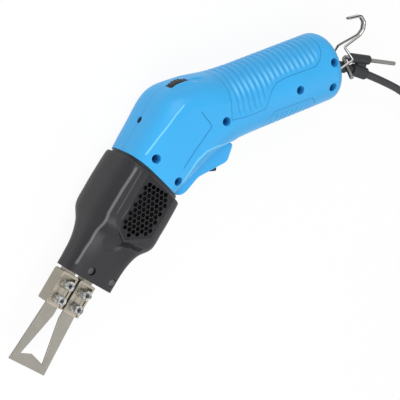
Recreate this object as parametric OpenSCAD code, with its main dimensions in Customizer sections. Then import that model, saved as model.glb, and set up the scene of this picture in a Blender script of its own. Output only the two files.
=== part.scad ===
// Electric hot knife. A bent two-half body with a round handle carries a ventilated nose, two clamping
// electrodes and a flat blade. It has a trigger under a hood, a power thumb wheel, a wire hanging hook and
// a mains cord, whose spare length lies in a coil with its plug.
// X runs rearward along the handle, Y is the tool's top side and Z is its left side.
// The tool lies on the flat of its right side, so Z is also up. The origin is on that flat, under the elbow.

/* [Body] */
// Width across both body halves, from flat to flat
body_w = 52; // [48:1:58]
// Thickness of the moulded walls
wall = 2.5; // [2:0.1:3]
// Height of the round handle
handle_h = 52.8; // [50:0.2:58]
// Distance from the elbow to the rear face of the handle
handle_len = 145; // [140:1:160]
// Rounding of the handle's rear edge
rear_round = 9.5; // [6:0.5:12]
// Angle by which the head drops from the handle's line
bend_a = 41; // [38:1:44]

/* [Head] */
// Distance from the elbow to the joint with the nose
joint_at = 34; // [32:1:38]
// Lean of the joint, its lower end forward
joint_lean = 10; // [6:1:14]
// Height of the head's crown over its axis
head_top = 20.5; // [19:0.5:23]
// Depth of the head's underside below its axis
head_low = 26; // [24:0.5:29]

/* [Hood and trigger] */
// Width of the keel that forms the hood
keel_w = 26; // [23:1:32]
// Depth of the hood below the handle's axis
hood_drop = 38; // [37:0.5:41]
// Distance from the elbow to the rear end of the hood
hood_rear = 38; // [37:0.5:42]
// Width of the trigger
trigger_w = 15; // [12:0.5:16]
// Depth of the trigger's heel below the hood
trigger_drop = 5.5; // [4.5:0.5:7]
// Swing of the trigger
trigger_swing = 9; // [6:0.5:10]

/* [Nose] */
// Length of the nose, from the joint to its front
nose_len = 87; // [84:1:96]
// Height of the nose over the head's axis
nose_top = 23; // [21:0.5:25]
// Depth of the nose below the head's axis
nose_low = 33.5; // [31:0.5:35]
// Width of the nose at its front
nose_front_w = 26; // [24:1:30]
// Height of the nose's front over the head's axis
nose_front_top = 15.5; // [15:0.5:18]
// Depth of the nose's front below the head's axis
nose_front_low = 27; // [25:0.5:29]
// Distance between the honeycomb holes
vent_pitch = 3.9; // [3.5:0.1:5]
// Width of the webs between the honeycomb holes
vent_web = 0.7; // [0.5:0.1:1]

/* [Electrodes and blade] */
// Length of the electrodes in front of the nose
electrode_len = 27; // [25:1:32]
// Height of each electrode
electrode_h = 14; // [13:0.5:15]
// Depth of the electrodes from the clamping face
electrode_d = 13; // [12:0.5:15]
// Gap between the two electrodes
electrode_gap = 2; // [1.5:0.1:3]
// Width of the channel that takes a blade leg
channel_w = 11; // [10:0.5:11.5]
// Thickness of the blade
blade_t = 1.5; // [1:0.1:1.8]
// Length of the blade in front of the electrodes
blade_len = 46.5; // [40:0.5:60]
// Width of the blade's cutting end
blade_tip_w = 32; // [29:0.5:36]
// Thread diameter of the clamp screws
clamp_screw_d = 4; // [3:0.5:4]

/* [Thumb wheel] */
// Diameter of the power thumb wheel
dial_d = 26; // [24:0.5:28]
// Width of the power thumb wheel
dial_w = 8.5; // [7:0.5:10]

/* [Hook and key] */
// Wire diameter of the hanging hook
hook_wire = 2; // [1.6:0.1:2.2]
// Width across the flats of the hex key
key_af = 3; // [2.5:0.5:3]
// Length of the hex key's long arm
key_long = 52; // [48:1:56]
// Length of the hex key's short arm
key_short = 21; // [18:0.5:22]

/* [Cord] */
// Diameter of the mains cord
cord_d = 6; // [5:0.1:6.4]
// Length of the cord boot outside the handle
boot_len = 18.5; // [17:0.5:22]
// Droop of the boot from the handle's line
boot_tilt = 24; // [18:1:28]
// Distance between the plug's pins
plug_pitch = 19; // [18:0.5:20]
// Diameter of the plug's pins
plug_pin_d = 4.8; // [4:0.1:5]

/* [Hidden] */

// Colours
blue = [0.25, 0.68, 0.93];
black = [0.17, 0.17, 0.18];
rubber = [0.11, 0.11, 0.12];
plated = [0.70, 0.64, 0.55];
steel = [0.66, 0.64, 0.60];
bright = [0.82, 0.83, 0.85];
copper = [0.80, 0.48, 0.30];
resin = [0.45, 0.30, 0.18];
green = [0.10, 0.42, 0.24];
iron = [0.38, 0.39, 0.41];
red = [0.85, 0.12, 0.10];

// Common small sizes
overrun = 0.5;
gap = 0.3;
running = 0.06;
round_fn = 48;
small_fn = 24;

// The head's own directions: forward t and up v, from the elbow
half_w = body_w / 2;
function head_pt(t, v) = [-t * cos(bend_a) - v * sin(bend_a), -t * sin(bend_a) + v * cos(bend_a)];
function joint_t(v) = joint_at - v * tan(joint_lean);
nose_front = joint_at + nose_len;
electrode_front = nose_front + electrode_len;

module in_tool() {
  translate([0, 0, half_w])
    children();
}

// Child coordinates are [-t, v, z]
module in_head() {
  in_tool()
    rotate([0, 0, bend_a])
      children();
}

// Lofted half shells. A row is [top x, top y, bottom x, bottom y, half width, squareness].
section_steps = 16;
blend_steps = 4;

function blend(a, b, c, d, s) =
  b + s / 2 * (c - a + s * (2 * a - 5 * b + 4 * c - d + s * (3 * (b - c) + d - a)));
function smooth_rows(rows) = concat(
  [for (i = [0 : len(rows) - 2])
    for (k = [0 : blend_steps - 1])
      blend(rows[max(i - 1, 0)], rows[i], rows[i + 1], rows[min(i + 2, len(rows) - 1)], k / blend_steps)],
  [rows[len(rows) - 1]]
);
function signed_power(x, p) = sign(x) * pow(abs(x), p);
function ring(row, inset) =
  let (
    top = [row[0], row[1]],
    low = [row[2], row[3]],
    half = norm(top - low) / 2 - inset,
    up = (top - low) / norm(top - low),
    mid = (top + low) / 2
  )
  [for (k = [0 : section_steps])
    let (
      a = -90 + 180 * k / section_steps,
      v = half * signed_power(sin(a), 2 / row[5]),
      z = min(half_w - inset, (row[4] - inset) * pow(abs(cos(a)), 2 / row[5]))
    )
    [mid[0] + up[0] * v, mid[1] + up[1] * v, z]];

// A wall between an outer and an inner set of rings, on the left of the parting plane.
// A capped shell is closed at its last ring by end points on the parting plane.
module half_shell(outer, inner, capped) {
  rings = len(outer);
  side = section_steps + 1;
  total = rings * side;
  last = rings - 1;
  caps = capped ? [
    (outer[last][0] + outer[last][section_steps]) / 2,
    (inner[last][0] + inner[last][section_steps]) / 2
  ] : [];
  points = concat([for (r = outer) each r], [for (r = inner) each r], caps);
  out_cap = 2 * total;
  in_cap = out_cap + 1;
  function o(i, j) = i * side + j;
  function n(i, j) = total + i * side + j;
  walls = [for (i = [0 : last - 1]) for (j = [0 : section_steps - 1]) each [
    [o(i, j), o(i, j + 1), o(i + 1, j + 1)],
    [o(i, j), o(i + 1, j + 1), o(i + 1, j)],
    [n(i, j), n(i + 1, j + 1), n(i, j + 1)],
    [n(i, j), n(i + 1, j), n(i + 1, j + 1)]
  ]];
  rims = [for (i = [0 : last - 1]) each [
    [o(i, 0), o(i + 1, 0), n(i + 1, 0)],
    [o(i, 0), n(i + 1, 0), n(i, 0)],
    [o(i, section_steps), n(i, section_steps), n(i + 1, section_steps)],
    [o(i, section_steps), n(i + 1, section_steps), o(i + 1, section_steps)]
  ]];
  front = [for (j = [0 : section_steps - 1]) each [
    [o(0, j), n(0, j), n(0, j + 1)],
    [o(0, j), n(0, j + 1), o(0, j + 1)]
  ]];
  rear = capped ? concat(
    [for (j = [0 : section_steps - 1]) each [
      [o(last, j), o(last, j + 1), out_cap],
      [n(last, j + 1), n(last, j), in_cap]
    ]],
    [
      [o(last, 0), out_cap, in_cap],
      [o(last, 0), in_cap, n(last, 0)],
      [o(last, section_steps), n(last, section_steps), in_cap],
      [o(last, section_steps), in_cap, out_cap]
    ]
  ) : [for (j = [0 : section_steps - 1]) each [
    [o(last, j), n(last, j + 1), n(last, j)],
    [o(last, j), o(last, j + 1), n(last, j + 1)]
  ]];
  polyhedron(points, concat(walls, rims, front, rear), convexity = 10);
}

// Body rows. The elbow's places are shares of the handle's height, from the elbow.
flat_share = 1.03;
elbow_top_shares = [[-0.02, 0.50], [0.42, 0.55], [0.84, 0.512]];
elbow_low_shares = [[0.40, -0.57], [0.61, -0.52], [0.85, -0.503]];
elbow_square_shares = [3.5, 2.9, 2.3];
crown_share = 0.35;
underside_shares = [0.10, -0.69];
handle_start_share = 1.2;
joint_square_share = 3.2;
head_square_share = 3.6;
handle_square_share = 2.1;
handle_w_share = 1;
rear_steps = 5;

function joint_row(v_top, v_low, w) =
  let (top = head_pt(joint_t(v_top), v_top), low = head_pt(joint_t(-v_low), -v_low))
  [top[0], top[1], low[0], low[1], w, joint_square_share];
function handle_row(x, shrink) =
  [x, handle_h / 2 - shrink, x, shrink - handle_h / 2, half_w * handle_w_share - shrink, handle_square_share];
head_crown = head_pt(joint_at * crown_share, head_top);
body_front_rows = smooth_rows(concat(
  [joint_row(head_top, head_low, half_w)],
  [[head_crown[0], head_crown[1], underside_shares[0] * handle_h, underside_shares[1] * handle_h,
    half_w * flat_share, head_square_share]],
  [for (i = [0 : 2]) [
    elbow_top_shares[i][0] * handle_h, elbow_top_shares[i][1] * handle_h,
    elbow_low_shares[i][0] * handle_h, elbow_low_shares[i][1] * handle_h,
    half_w * flat_share, elbow_square_shares[i]]],
  [handle_row(handle_start_share * handle_h, 0)]
));
function body_rows(end_inset) = concat(
  body_front_rows,
  [for (k = [0 : rear_steps])
    let (a = 80 * k / rear_steps)
    handle_row(handle_len - end_inset - rear_round * (1 - sin(a)), rear_round * (1 - cos(a)))]
);

module body_half() {
  half_shell(
    [for (r = body_rows(0)) ring(r, 0)],
    [for (r = body_rows(wall)) ring(r, wall)],
    true
  );
}

// Keel: the hood over the trigger and the lobe under the joint
hood_heel_share = 1.21;
hood_front_share = 0.32;
lobe_shares = [[1.04, 1.27], [0.95, 1.37]];
keel_root_share = 0.44;
hood_front = hood_rear * hood_front_share;
keel_outline = concat(
  [head_pt(joint_t(-head_low), -head_low)],
  [for (s = lobe_shares) head_pt(joint_t(-head_low) * s[0] - head_low * tan(joint_lean), -head_low * s[1])],
  [
    [hood_front, -hood_drop - wall],
    [hood_rear, -hood_drop],
    [hood_rear * hood_heel_share, -handle_h / 2],
    [hood_rear, -keel_root_share * handle_h],
    [hood_front, -keel_root_share * handle_h],
    head_pt(joint_at, -head_low + wall / 2)
  ]
);
pocket_outline = [
  [hood_front - wall, -hood_drop + wall],
  [hood_rear - wall, -hood_drop + wall],
  [hood_rear, -handle_h / 2 + wall],
  [hood_rear, -hood_drop / 2],
  [hood_front - wall, -hood_drop / 2]
];

module keel() {
  linear_extrude(keel_w / 2)
    polygon(keel_outline);
}

module keel_pocket() {
  translate([0, 0, -overrun])
    linear_extrude(keel_w / 2 - wall + overrun)
      polygon(pocket_outline);
}

// Trigger: it swings about a pin near its front, and its heel stands below the hood
trigger_pin_d = 3;
trigger_eye_r = 4;
trigger_gap = 0.4;
trigger_at = [hood_front + wall, -hood_drop + wall + trigger_eye_r];
trigger_heel_share = 0.865;
trigger_blunt = 1.2;
trigger_top_h = 3;
trigger_rear = hood_rear - wall - trigger_gap;
trigger_eye_share = 0.8;
trigger_outline = [
  [trigger_at[0], trigger_at[1] + trigger_eye_r * trigger_eye_share],
  [trigger_at[0] + trigger_eye_r, trigger_at[1] + trigger_eye_r],
  [trigger_rear - trigger_gap, trigger_at[1] + trigger_eye_r],
  [trigger_rear - trigger_gap, trigger_at[1] + trigger_eye_r - trigger_top_h],
  [trigger_rear * trigger_heel_share, -hood_drop - trigger_drop],
  [trigger_rear * trigger_heel_share - trigger_blunt, -hood_drop - trigger_drop],
  [trigger_at[0], -hood_drop - wall / 2]
];
slot_w = trigger_w + 2 * trigger_gap;
slot_front = trigger_at[0] - trigger_eye_r - trigger_gap;

module trigger_slot() {
  translate([slot_front, -hood_drop - 2 * wall, -overrun])
    cube([trigger_rear - slot_front, 4 * wall, slot_w / 2 + overrun]);
}

// Switch over the trigger, and its plunger
switch_len = 18;
switch_h = 10;
switch_w = 16;
plunger_d = 3.2;
plunger_out = 3.6;
plunger_share = 0.82;
plunger_x = trigger_rear * plunger_share;
trigger_top_y = trigger_at[1] + trigger_eye_r;
switch_low = trigger_top_y + plunger_out + gap;
switch_rib_h = 4;
switch_rib_len = 10;
plunger_lift = (plunger_x - trigger_at[0]) * trigger_swing * PI / 180;
plunger_room = 1;

// Body screws: places along the left side, in shares of the handle's height from the elbow
screw_d = 3;
screw_head_d = 5.6;
screw_head_h = 2.4;
screw_recess_d = 6.6;
screw_recess = 11;
boss_d = 8;
boss_lap_share = 0.7;
screw_len = 26;
handle_screw_shares = [[0.69, -0.065], [0.705, -0.045], [0.94, 0.14], [0.91, -0.20]];
head_screw_shares = [[0.72, 0.40], [0.86, -0.66]];
screw_places = concat(
  [for (s = head_screw_shares) head_pt(joint_at * s[0], (s[1] > 0 ? head_top : head_low) * s[1])],
  [[handle_screw_shares[0][0] * handle_h, handle_screw_shares[0][1] * handle_h]],
  [for (i = [1 : 3]) [handle_screw_shares[i][0] * handle_len, handle_screw_shares[i][1] * handle_h]]
);
// Height of the left wall over each screw, as a share of the half width
screw_wall_shares = [0.97, 0.92, 0.99, 0.98, 0.94, 0.91];
function screw_wall(i) = half_w * screw_wall_shares[i];
function screw_seat(i) = screw_wall(i) - screw_recess;

module screw_bosses() {
  for (i = [0 : len(screw_places) - 1])
    translate([screw_places[i][0], screw_places[i][1], 0])
      cylinder(d = boss_d, h = screw_wall(i) - wall * boss_lap_share, $fn = small_fn);
}

module left_screw_holes() {
  for (i = [0 : len(screw_places) - 1])
    translate([screw_places[i][0], screw_places[i][1], 0]) {
      translate([0, 0, -overrun])
        cylinder(d = screw_d + gap, h = half_w, $fn = small_fn);
      translate([0, 0, screw_seat(i)])
        cylinder(d = screw_recess_d, h = half_w, $fn = small_fn);
    }
}

module right_screw_holes() {
  for (i = [0 : len(screw_places) - 1])
    translate([screw_places[i][0], screw_places[i][1], -overrun])
      cylinder(d = screw_d + running, h = screw_len - screw_seat(i) + 3 * overrun, $fn = small_fn);
}

// Thumb wheel over the elbow, in the left half, with its potentiometer on the right
dial_shares = [0.295, 0.55];
dial_proud_share = 0.075;
dial_side = 0.5;
dial_at = [dial_shares[0] * handle_h, dial_shares[1] * handle_h + dial_d * dial_proud_share - dial_d / 2];
dial_gap = 0.5;
dial_notches = 30;
dial_notch_d = 1.2;
pot_d = 10;
pot_h = 6;
pot_shaft_d = 6;
pot_gap = 0.6;
pot_post_d = 7;
pot_post_share = 0.85;
pot_back = dial_side - pot_gap - pot_h;

module dial_slot() {
  translate([dial_at[0], dial_at[1], -overrun])
    cylinder(d = dial_d + 2 * dial_gap, h = dial_side + dial_w + dial_gap + overrun, $fn = round_fn);
}

// Indicator light on the crown, square to the head
led_d = 5;
led_flange_d = 5.8;
led_flange_h = 1;
led_len = 8;
led_share = 0.16;
led_proud = 0.4;

module led_frame() {
  rotate([0, 0, bend_a])
    translate([-joint_at * led_share, head_top - led_proud, 0])
      rotate([-90, 0, 0])
        children();
}

// Rear ears: a boss on the rear face with a bore for each foot of the hook
ear_len = 5;
ear_h = 9;
ear_w = 22;
ear_drop = 4;
hook_foot_len = 3.5;
hook_at = [handle_len + ear_len / 2, -ear_drop];

module rear_ear() {
  translate([handle_len - wall, -ear_drop - ear_h / 2, 0])
    cube([ear_len + wall, ear_h, ear_w / 2]);
}

module hook_bore() {
  translate([hook_at[0], hook_at[1], ear_w / 2 - hook_foot_len])
    cylinder(d = hook_wire + 2 * running, h = hook_foot_len + overrun, $fn = small_fn);
}

// Cord boot: straight through the rear wall, then drooping
boot_root = [handle_len, -ear_drop / 2];
boot_share = 0.95;
boot_tip_share = 0.7;
boot_flange_share = 1.25;
boot_r = cord_d * boot_share;
boot_tip_r = cord_d * boot_tip_share;
boot_flange_r = cord_d * boot_flange_share;
boot_flange_h = 1.4;
boot_dir = [cos(boot_tilt), -sin(boot_tilt)];
boot_end = boot_root + boot_dir * boot_len;
boot_in = wall + gap / 2;
boot_knee = boot_r * sin(boot_tilt);

module boot_inside() {
  translate([boot_root[0], boot_root[1], 0])
    rotate([0, 90, 0])
      children();
}

module boot_outside() {
  translate([boot_root[0], boot_root[1], 0])
    rotate([0, 0, -boot_tilt])
      rotate([0, 90, 0])
        children();
}

module boot_hole() {
  boot_inside()
    translate([0, 0, -2 * wall])
      cylinder(r = boot_r + gap, h = 2 * wall + boot_knee + gap, $fn = round_fn);
  boot_outside()
    cylinder(r = boot_r + gap, h = boot_len, $fn = round_fn);
}

// Rails that carry the control board in the handle
board_rise_share = 0.17;
board_y = handle_h * board_rise_share;
board_t = 1.6;
board_from_share = 0.60;
board_to_share = 0.79;
board_w = 34;
rail_h = 2.6;
rail_lap = 2;
rail_root_share = 1.4;
board_len = (board_to_share - board_from_share) * handle_len;
board_x = board_from_share * handle_len;

module board_rail() {
  reach = half_w - board_w / 2 + rail_lap - wall * rail_root_share;
  translate([board_x, board_y - rail_h, board_w / 2 - rail_lap])
    cube([board_len, rail_h, reach]);
}

// Rib that carries the switch
switch_root_share = 1.6;

module switch_rib() {
  translate([plunger_x - switch_rib_len / 2, switch_low + switch_h - switch_rib_h, switch_w / 2 + gap])
    cube([switch_rib_len, switch_rib_h, half_w - switch_w / 2 - gap - wall * switch_root_share]);
}

// Cord clamp inside the rear of the handle
cord_end_len = 24;
cord_clamp_len = 8;
cord_clamp_w_share = 0.38;
cord_clamp_w = handle_h * cord_clamp_w_share;
cord_clamp_h = 6;
cord_clamp_share = 0.75;
cord_clamp_at = boot_root - [boot_in + boot_flange_h + cord_end_len * cord_clamp_share, 0];
cord_clamp_pitch_share = 0.246;
cord_clamp_pitch = handle_h * cord_clamp_pitch_share;
cord_screw_len = 14;
pedestal_lap_share = 0.87;

module clamp_frame() {
  translate([cord_clamp_at[0], cord_clamp_at[1], 0])
    children();
}

module cord_pedestal() {
  clamp_frame()
    translate([-cord_clamp_len / 2, -cord_clamp_w / 2, cord_d / 2])
      cube([cord_clamp_len, cord_clamp_w, half_w * pedestal_lap_share - cord_d / 2]);
}

module cord_screw_places() {
  clamp_frame()
    for (s = [-1, 1])
      translate([0, s * cord_clamp_pitch / 2, 0])
        children();
}

module left_housing() {
  color(blue)
    in_tool()
      difference() {
        union() {
          body_half();
          keel();
          screw_bosses();
          rear_ear();
          board_rail();
          switch_rib();
        }
        keel_pocket();
        trigger_slot();
        trigger_pin_hole();
        left_screw_holes();
        dial_slot();
        led_hole();
        hook_bore();
        boot_hole();
      }
}

module right_housing() {
  color(blue)
    in_tool()
      mirror([0, 0, 1])
        difference() {
          union() {
            body_half();
            keel();
            screw_bosses();
            rear_ear();
            board_rail();
            switch_rib();
            pot_post();
            cord_pedestal();
          }
          keel_pocket();
          trigger_slot();
          trigger_pin_hole();
          right_screw_holes();
          led_hole();
          hook_bore();
          boot_hole();
          cord_screw_places()
            cylinder(d = screw_d + running, h = cord_screw_len, $fn = small_fn);
        }
}

module trigger_pin_hole() {
  translate([trigger_at[0], trigger_at[1], -overrun])
    cylinder(d = trigger_pin_d + 2 * running, h = keel_w / 2 - wall / 2 + overrun, $fn = small_fn);
}

module pot_post() {
  translate([dial_at[0], dial_at[1] - pot_d / 4, -pot_back])
    cylinder(d = pot_post_d, h = half_w * pot_post_share + pot_back, $fn = small_fn);
}

module led_hole() {
  led_frame()
    translate([0, 0, -led_len])
      cylinder(d = led_d + 2 * running, h = 2 * led_len, $fn = small_fn);
}

// Nose rows. Each is the share of the nose's length, then the height, depth and width shares, the squareness
// and the lean share. Height, depth and width run from the front's size at 0 to the full size at 1.
nose_row_shares = [
  [0.00, 0.55, 0.45, 0.93, 3.2, 1.0],
  [0.05, 0.95, 0.95, 1.07, 3.6, 0.9],
  [0.20, 1.00, 1.00, 1.10, 3.6, 0.6],
  [0.36, 1.00, 1.00, 1.10, 3.6, 0.4],
  [0.51, 0.95, 0.97, 1.04, 3.5, 0.2],
  [0.62, 0.48, 0.40, 0.48, 3.4, 0.1],
  [0.72, 0.16, 0.12, 0.22, 3.5, 0.0],
  [0.83, 0.00, 0.00, 0.08, 3.7, 0.0],
  [1.00, 0.00, 0.00, 0.00, 4.0, 0.0]
];
collar_wall = 2;
joint_gap = 0.1;
function between(low, high, s) = low + (high - low) * s;
function nose_row(s) =
  let (
    t = joint_at + joint_gap + (nose_len - joint_gap) * s[0],
    v_top = between(nose_front_top, nose_top, s[1]),
    v_low = between(nose_front_low, nose_low, s[2]),
    lean = tan(joint_lean * s[5]),
    top = head_pt(t - v_top * lean, v_top),
    low = head_pt(t + v_low * lean, -v_low)
  )
  [top[0], top[1], low[0], low[1], between(nose_front_w / 2, half_w, s[3]), s[4]];
nose_rows = smooth_rows([for (s = nose_row_shares) nose_row(s)]);
// The collar slips inside the front of the body
collar_rows = [body_front_rows[1], body_front_rows[0]];

module nose_half() {
  // Rings run from the front to the rear, as on the body
  count = len(nose_rows);
  outer = concat(
    [for (i = [count - 1 : -1 : 0]) ring(nose_rows[i], 0)],
    [for (i = [1, 0]) ring(collar_rows[i], wall + gap)]
  );
  inner = concat(
    [for (i = [count - 1 : -1 : 0]) ring(nose_rows[i], wall)],
    [for (i = [1, 0]) ring(collar_rows[i], wall + gap + collar_wall)]
  );
  half_shell(outer, inner, false);
}

// Honeycomb window in the flat of the nose's side, in shares of the nose's length and half height
window_t_shares = [0.463, 0.517, 0.570, 0.450, 0.100, 0.064, 0.020];
window_v_shares = [0.215, 0.134, -0.080, -0.610, -0.625, -0.440, 0.215];
function nose_outline(along, up) = [for (i = [0 : len(along) - 1])
  [-joint_at - nose_len * along[i], nose_low * up[i]]];
window_outline = nose_outline(window_t_shares, window_v_shares);
rebate = 0.5;
grille_t = 1.6;
grille_gap = 0.15;
// Distance of a point inside a convex outline whose corners run counter-clockwise
function inside_by(p, outline) = min([for (i = [0 : len(outline) - 1])
  let (a = outline[i], b = outline[(i + 1) % len(outline)], e = (b - a) / norm(b - a))
  e[0] * (p[1] - a[1]) - e[1] * (p[0] - a[0])]);
// An outline moved inward along its sides
function shrunk(outline, d) = [for (i = [0 : len(outline) - 1])
  let (
    a = outline[(i + len(outline) - 1) % len(outline)],
    b = outline[i],
    c = outline[(i + 1) % len(outline)],
    e = (b - a) / norm(b - a),
    f = (c - b) / norm(c - b),
    n = [-e[1], e[0]],
    m = [-f[1], f[0]]
  )
  b + (n + m) * d / (1 + n * m)];

module nose_window() {
  rotate([0, 0, bend_a]) {
    translate([0, 0, half_w - grille_t])
      linear_extrude(grille_t + overrun)
        polygon(window_outline);
    translate([0, 0, half_w - 2 * wall])
      linear_extrude(2 * wall)
        polygon(shrunk(window_outline, rebate));
  }
}

// Cowl: the side plate of the nose runs on over the shoulder, and the air leaves from under its front edge
cowl_t_shares = [0.300, 0.460, 0.532, 0.593, 0.478, 0.300];
cowl_v_shares = [0.228, 0.252, 0.166, -0.092, -0.723, -0.630];
cowl_drop = 0.1;
cowl_lap = 0.4;
outlet_t_shares = [0.534, 0.647, 0.602, 0.602, 0.500];
outlet_v_shares = [-0.185, -0.160, -0.415, -0.670, -0.690];

module cowl() {
  rotate([0, 0, bend_a])
    translate([0, 0, half_w - wall - cowl_lap])
      linear_extrude(wall + cowl_lap - cowl_drop)
        polygon(nose_outline(cowl_t_shares, cowl_v_shares));
}

module air_outlet() {
  rotate([0, 0, bend_a])
    translate([0, 0, half_w / 4])
      linear_extrude(half_w * 3 / 4 - wall - cowl_lap / 2)
        polygon(nose_outline(outlet_t_shares, outlet_v_shares));
}

// Ribs that hold the transformer
core_back_share = 0.115;
core_back = joint_at + nose_len * core_back_share;
core_len = 32;
core_leg = 10;
core_limb = 5;
core_half_z = 17;
core_yoke = 6;
core_top = 10;
core_low = -14;
winding_build = 5.5;
winding_gap = 0.25;
rib_h = 2.5;

module core_rib() {
  rotate([0, 0, bend_a])
    translate([-core_back - core_len, core_top - rib_h, core_half_z + gap])
      cube([core_len, rib_h, half_w - core_half_z - gap - wall / 2]);
}

// Nose screws, near the front
nose_screw_back = 7;
nose_screw_shares = [-0.02, -0.765];
nose_screw_head_d = 4.8;
nose_screw_head_h = 0.9;
nose_screw_recess_d = 6;
nose_screw_recess = 2.2;
nose_screw_seat = nose_front_w / 2 - nose_screw_recess;

module nose_screw_places() {
  rotate([0, 0, bend_a])
    for (s = nose_screw_shares)
      translate([nose_screw_back - nose_front, nose_front_low * s, 0])
        children();
}

module nose_left() {
  color(black)
    in_tool()
      difference() {
        union() {
          nose_half();
          cowl();
          core_rib();
        }
        nose_window();
        air_outlet();
        nose_screw_places() {
          translate([0, 0, -overrun])
            cylinder(d = screw_d + gap, h = half_w, $fn = small_fn);
          translate([0, 0, nose_screw_seat])
            cylinder(d = nose_screw_recess_d, h = half_w, $fn = small_fn);
        }
      }
}

module nose_right() {
  color(black)
    in_tool()
      mirror([0, 0, 1])
        difference() {
          union() {
            nose_half();
            cowl();
            core_rib();
          }
          nose_window();
          air_outlet();
          nose_screw_places()
            translate([0, 0, -overrun])
              cylinder(d = screw_d + running, h = nose_front_w / 2 - wall / 2 + overrun, $fn = small_fn);
        }
}

vent_r = (vent_pitch - vent_web) / sqrt(3);
vent_rows = ceil(nose_low / vent_pitch);
vent_cols = ceil(nose_len / vent_pitch / 2);
row_step = vent_pitch * sqrt(3) / 2;
vent_first_shares = [0.054, 0.131];

module vent_grille() {
  plate = shrunk(window_outline, grille_gap);
  first = nose_outline([vent_first_shares[0]], [vent_first_shares[1]])[0];
  rotate([0, 0, bend_a])
    translate([0, 0, half_w - grille_t])
      linear_extrude(grille_t)
        difference() {
          polygon(plate);
          for (i = [0 : 2 * vent_cols])
            for (j = [-vent_rows : vent_rows]) {
              place = first + [-i * row_step, (j + (i % 2) / 2) * vent_pitch];
              if (inside_by(place, plate) > rebate + vent_r)
                translate(place)
                  circle(r = vent_r, $fn = 6);
            }
        }
}

module vent_grille_left() {
  color(black)
    in_tool()
      vent_grille();
}

module vent_grille_right() {
  color(black)
    in_tool()
      mirror([0, 0, 1])
        vent_grille();
}

// Electrodes: blocks with a channel for the blade's legs, and shanks that run back into the nose
electrode_face = 6;
electrode_root = 2;
electrode_v = (electrode_gap + electrode_h) / 2;
plate_t = 1.5;
channel_rim = 0.75;
channel_d = blade_t + plate_t + channel_rim;
seat_z = electrode_face - channel_d;
shank_h = 8;
shank_d = 9;
shank_reach = 23;
shank_back = nose_front - shank_reach;
shank_lap = electrode_root / 2;
shank_low = electrode_face - electrode_d + electrode_root;
leg_gap = 0.2;
electrode_round = 1.4;
clamp_place_shares = [0.22, 0.65];
clamp_head_share = 1.75;
clamp_head_h_share = 1.9;
clamp_screw_places = [for (s = clamp_place_shares) electrode_len * s];
clamp_head_d = clamp_screw_d * clamp_head_share;
clamp_head_h = clamp_screw_d * clamp_head_h_share;
clamp_screw_len = 10;

module clamp_screw_at(side) {
  for (d = clamp_screw_places)
    translate([d - electrode_front, side * electrode_v, 0])
      children();
}

module electrode(side) {
  front = -electrode_front;
  back = electrode_len - electrode_root - electrode_front;
  low = side * electrode_v - electrode_h / 2;
  high = low + electrode_h;
  color(plated)
    in_head()
      difference() {
        union() {
          translate([0, 0, electrode_face - electrode_d])
            linear_extrude(electrode_d)
              polygon(rounded([
                [(front + back) / 2, high], [front, high], [front, low], [back, low], [back, high],
                [(front + back) / 2, high]
              ], electrode_round));
          translate([-nose_front - electrode_root - shank_lap, side * electrode_v - shank_h / 2, shank_low])
            cube([nose_front + electrode_root + shank_lap - shank_back, shank_h, shank_d]);
        }
        translate([-electrode_front - overrun, side * electrode_v - channel_w / 2, seat_z])
          cube([electrode_len - 2 * electrode_root + overrun, channel_w, channel_d + overrun]);
        clamp_screw_at(side)
          translate([0, 0, seat_z + blade_t + plate_t - clamp_screw_len - overrun])
            cylinder(d = clamp_screw_d + 2 * running, h = clamp_screw_len, $fn = small_fn);
      }
}

module upper_electrode() {
  electrode(1);
}

module lower_electrode() {
  electrode(-1);
}

clamp_plate_len = electrode_len - 3 * electrode_root;

module clamp_plates() {
  color(plated)
    in_head()
      for (side = [-1, 1])
        difference() {
          translate([-electrode_front, side * electrode_v - channel_w / 2 + leg_gap, seat_z + blade_t])
            cube([clamp_plate_len, channel_w - 2 * leg_gap, plate_t]);
          clamp_screw_at(side)
            translate([0, 0, seat_z])
              cylinder(d = clamp_screw_d + gap, h = channel_d + overrun, $fn = small_fn);
        }
}

hex_share = 0.5;

module clamp_screws() {
  color(bright)
    in_head()
      for (side = [-1, 1])
        clamp_screw_at(side)
          translate([0, 0, seat_z + blade_t + plate_t]) {
            difference() {
              cylinder(d = clamp_head_d, h = clamp_head_h, $fn = round_fn);
              translate([0, 0, clamp_head_h / 2])
                cylinder(d = clamp_head_d * hex_share, h = clamp_head_h, $fn = 6);
            }
            translate([0, 0, -clamp_screw_len])
              cylinder(d = clamp_screw_d, h = clamp_screw_len, $fn = small_fn);
          }
}

// Blade: two legs that join at the cutting end, round a window with a peaked lower edge
leg_w = channel_w - 2 * leg_gap;
leg_out = electrode_v + leg_w / 2;
leg_in = electrode_v - leg_w / 2;
window_end_share = 0.86;
window_peak_share = 0.79;
window_knee_share = 0.13;
window_low_share = 0.64;
window_peak_v_share = 0.04;

module blade() {
  tip = electrode_front + blade_len;
  heel = electrode_front - clamp_plate_len;
  low = blade_tip_w / 2 * window_low_share;
  color(steel)
    in_head()
      translate([0, 0, seat_z])
        linear_extrude(blade_t)
          difference() {
            polygon([
              [-heel, leg_out], [-electrode_front, leg_out], [-tip, blade_tip_w / 2],
              [-tip, -blade_tip_w / 2], [-electrode_front, -leg_out], [-heel, -leg_out]
            ]);
            polygon([
              [-heel + overrun, leg_in],
              [-electrode_front - blade_len * window_knee_share, leg_in],
              [-electrode_front - blade_len * window_end_share, low],
              [-electrode_front - blade_len * window_peak_share, blade_tip_w * window_peak_v_share],
              [-electrode_front - blade_len * window_end_share, -low],
              [-electrode_front - blade_len * window_knee_share, -leg_in],
              [-heel + overrun, -leg_in]
            ]);
            for (side = [-1, 1])
              clamp_screw_at(side)
                circle(d = clamp_screw_d + gap, $fn = small_fn);
          }
}

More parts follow.
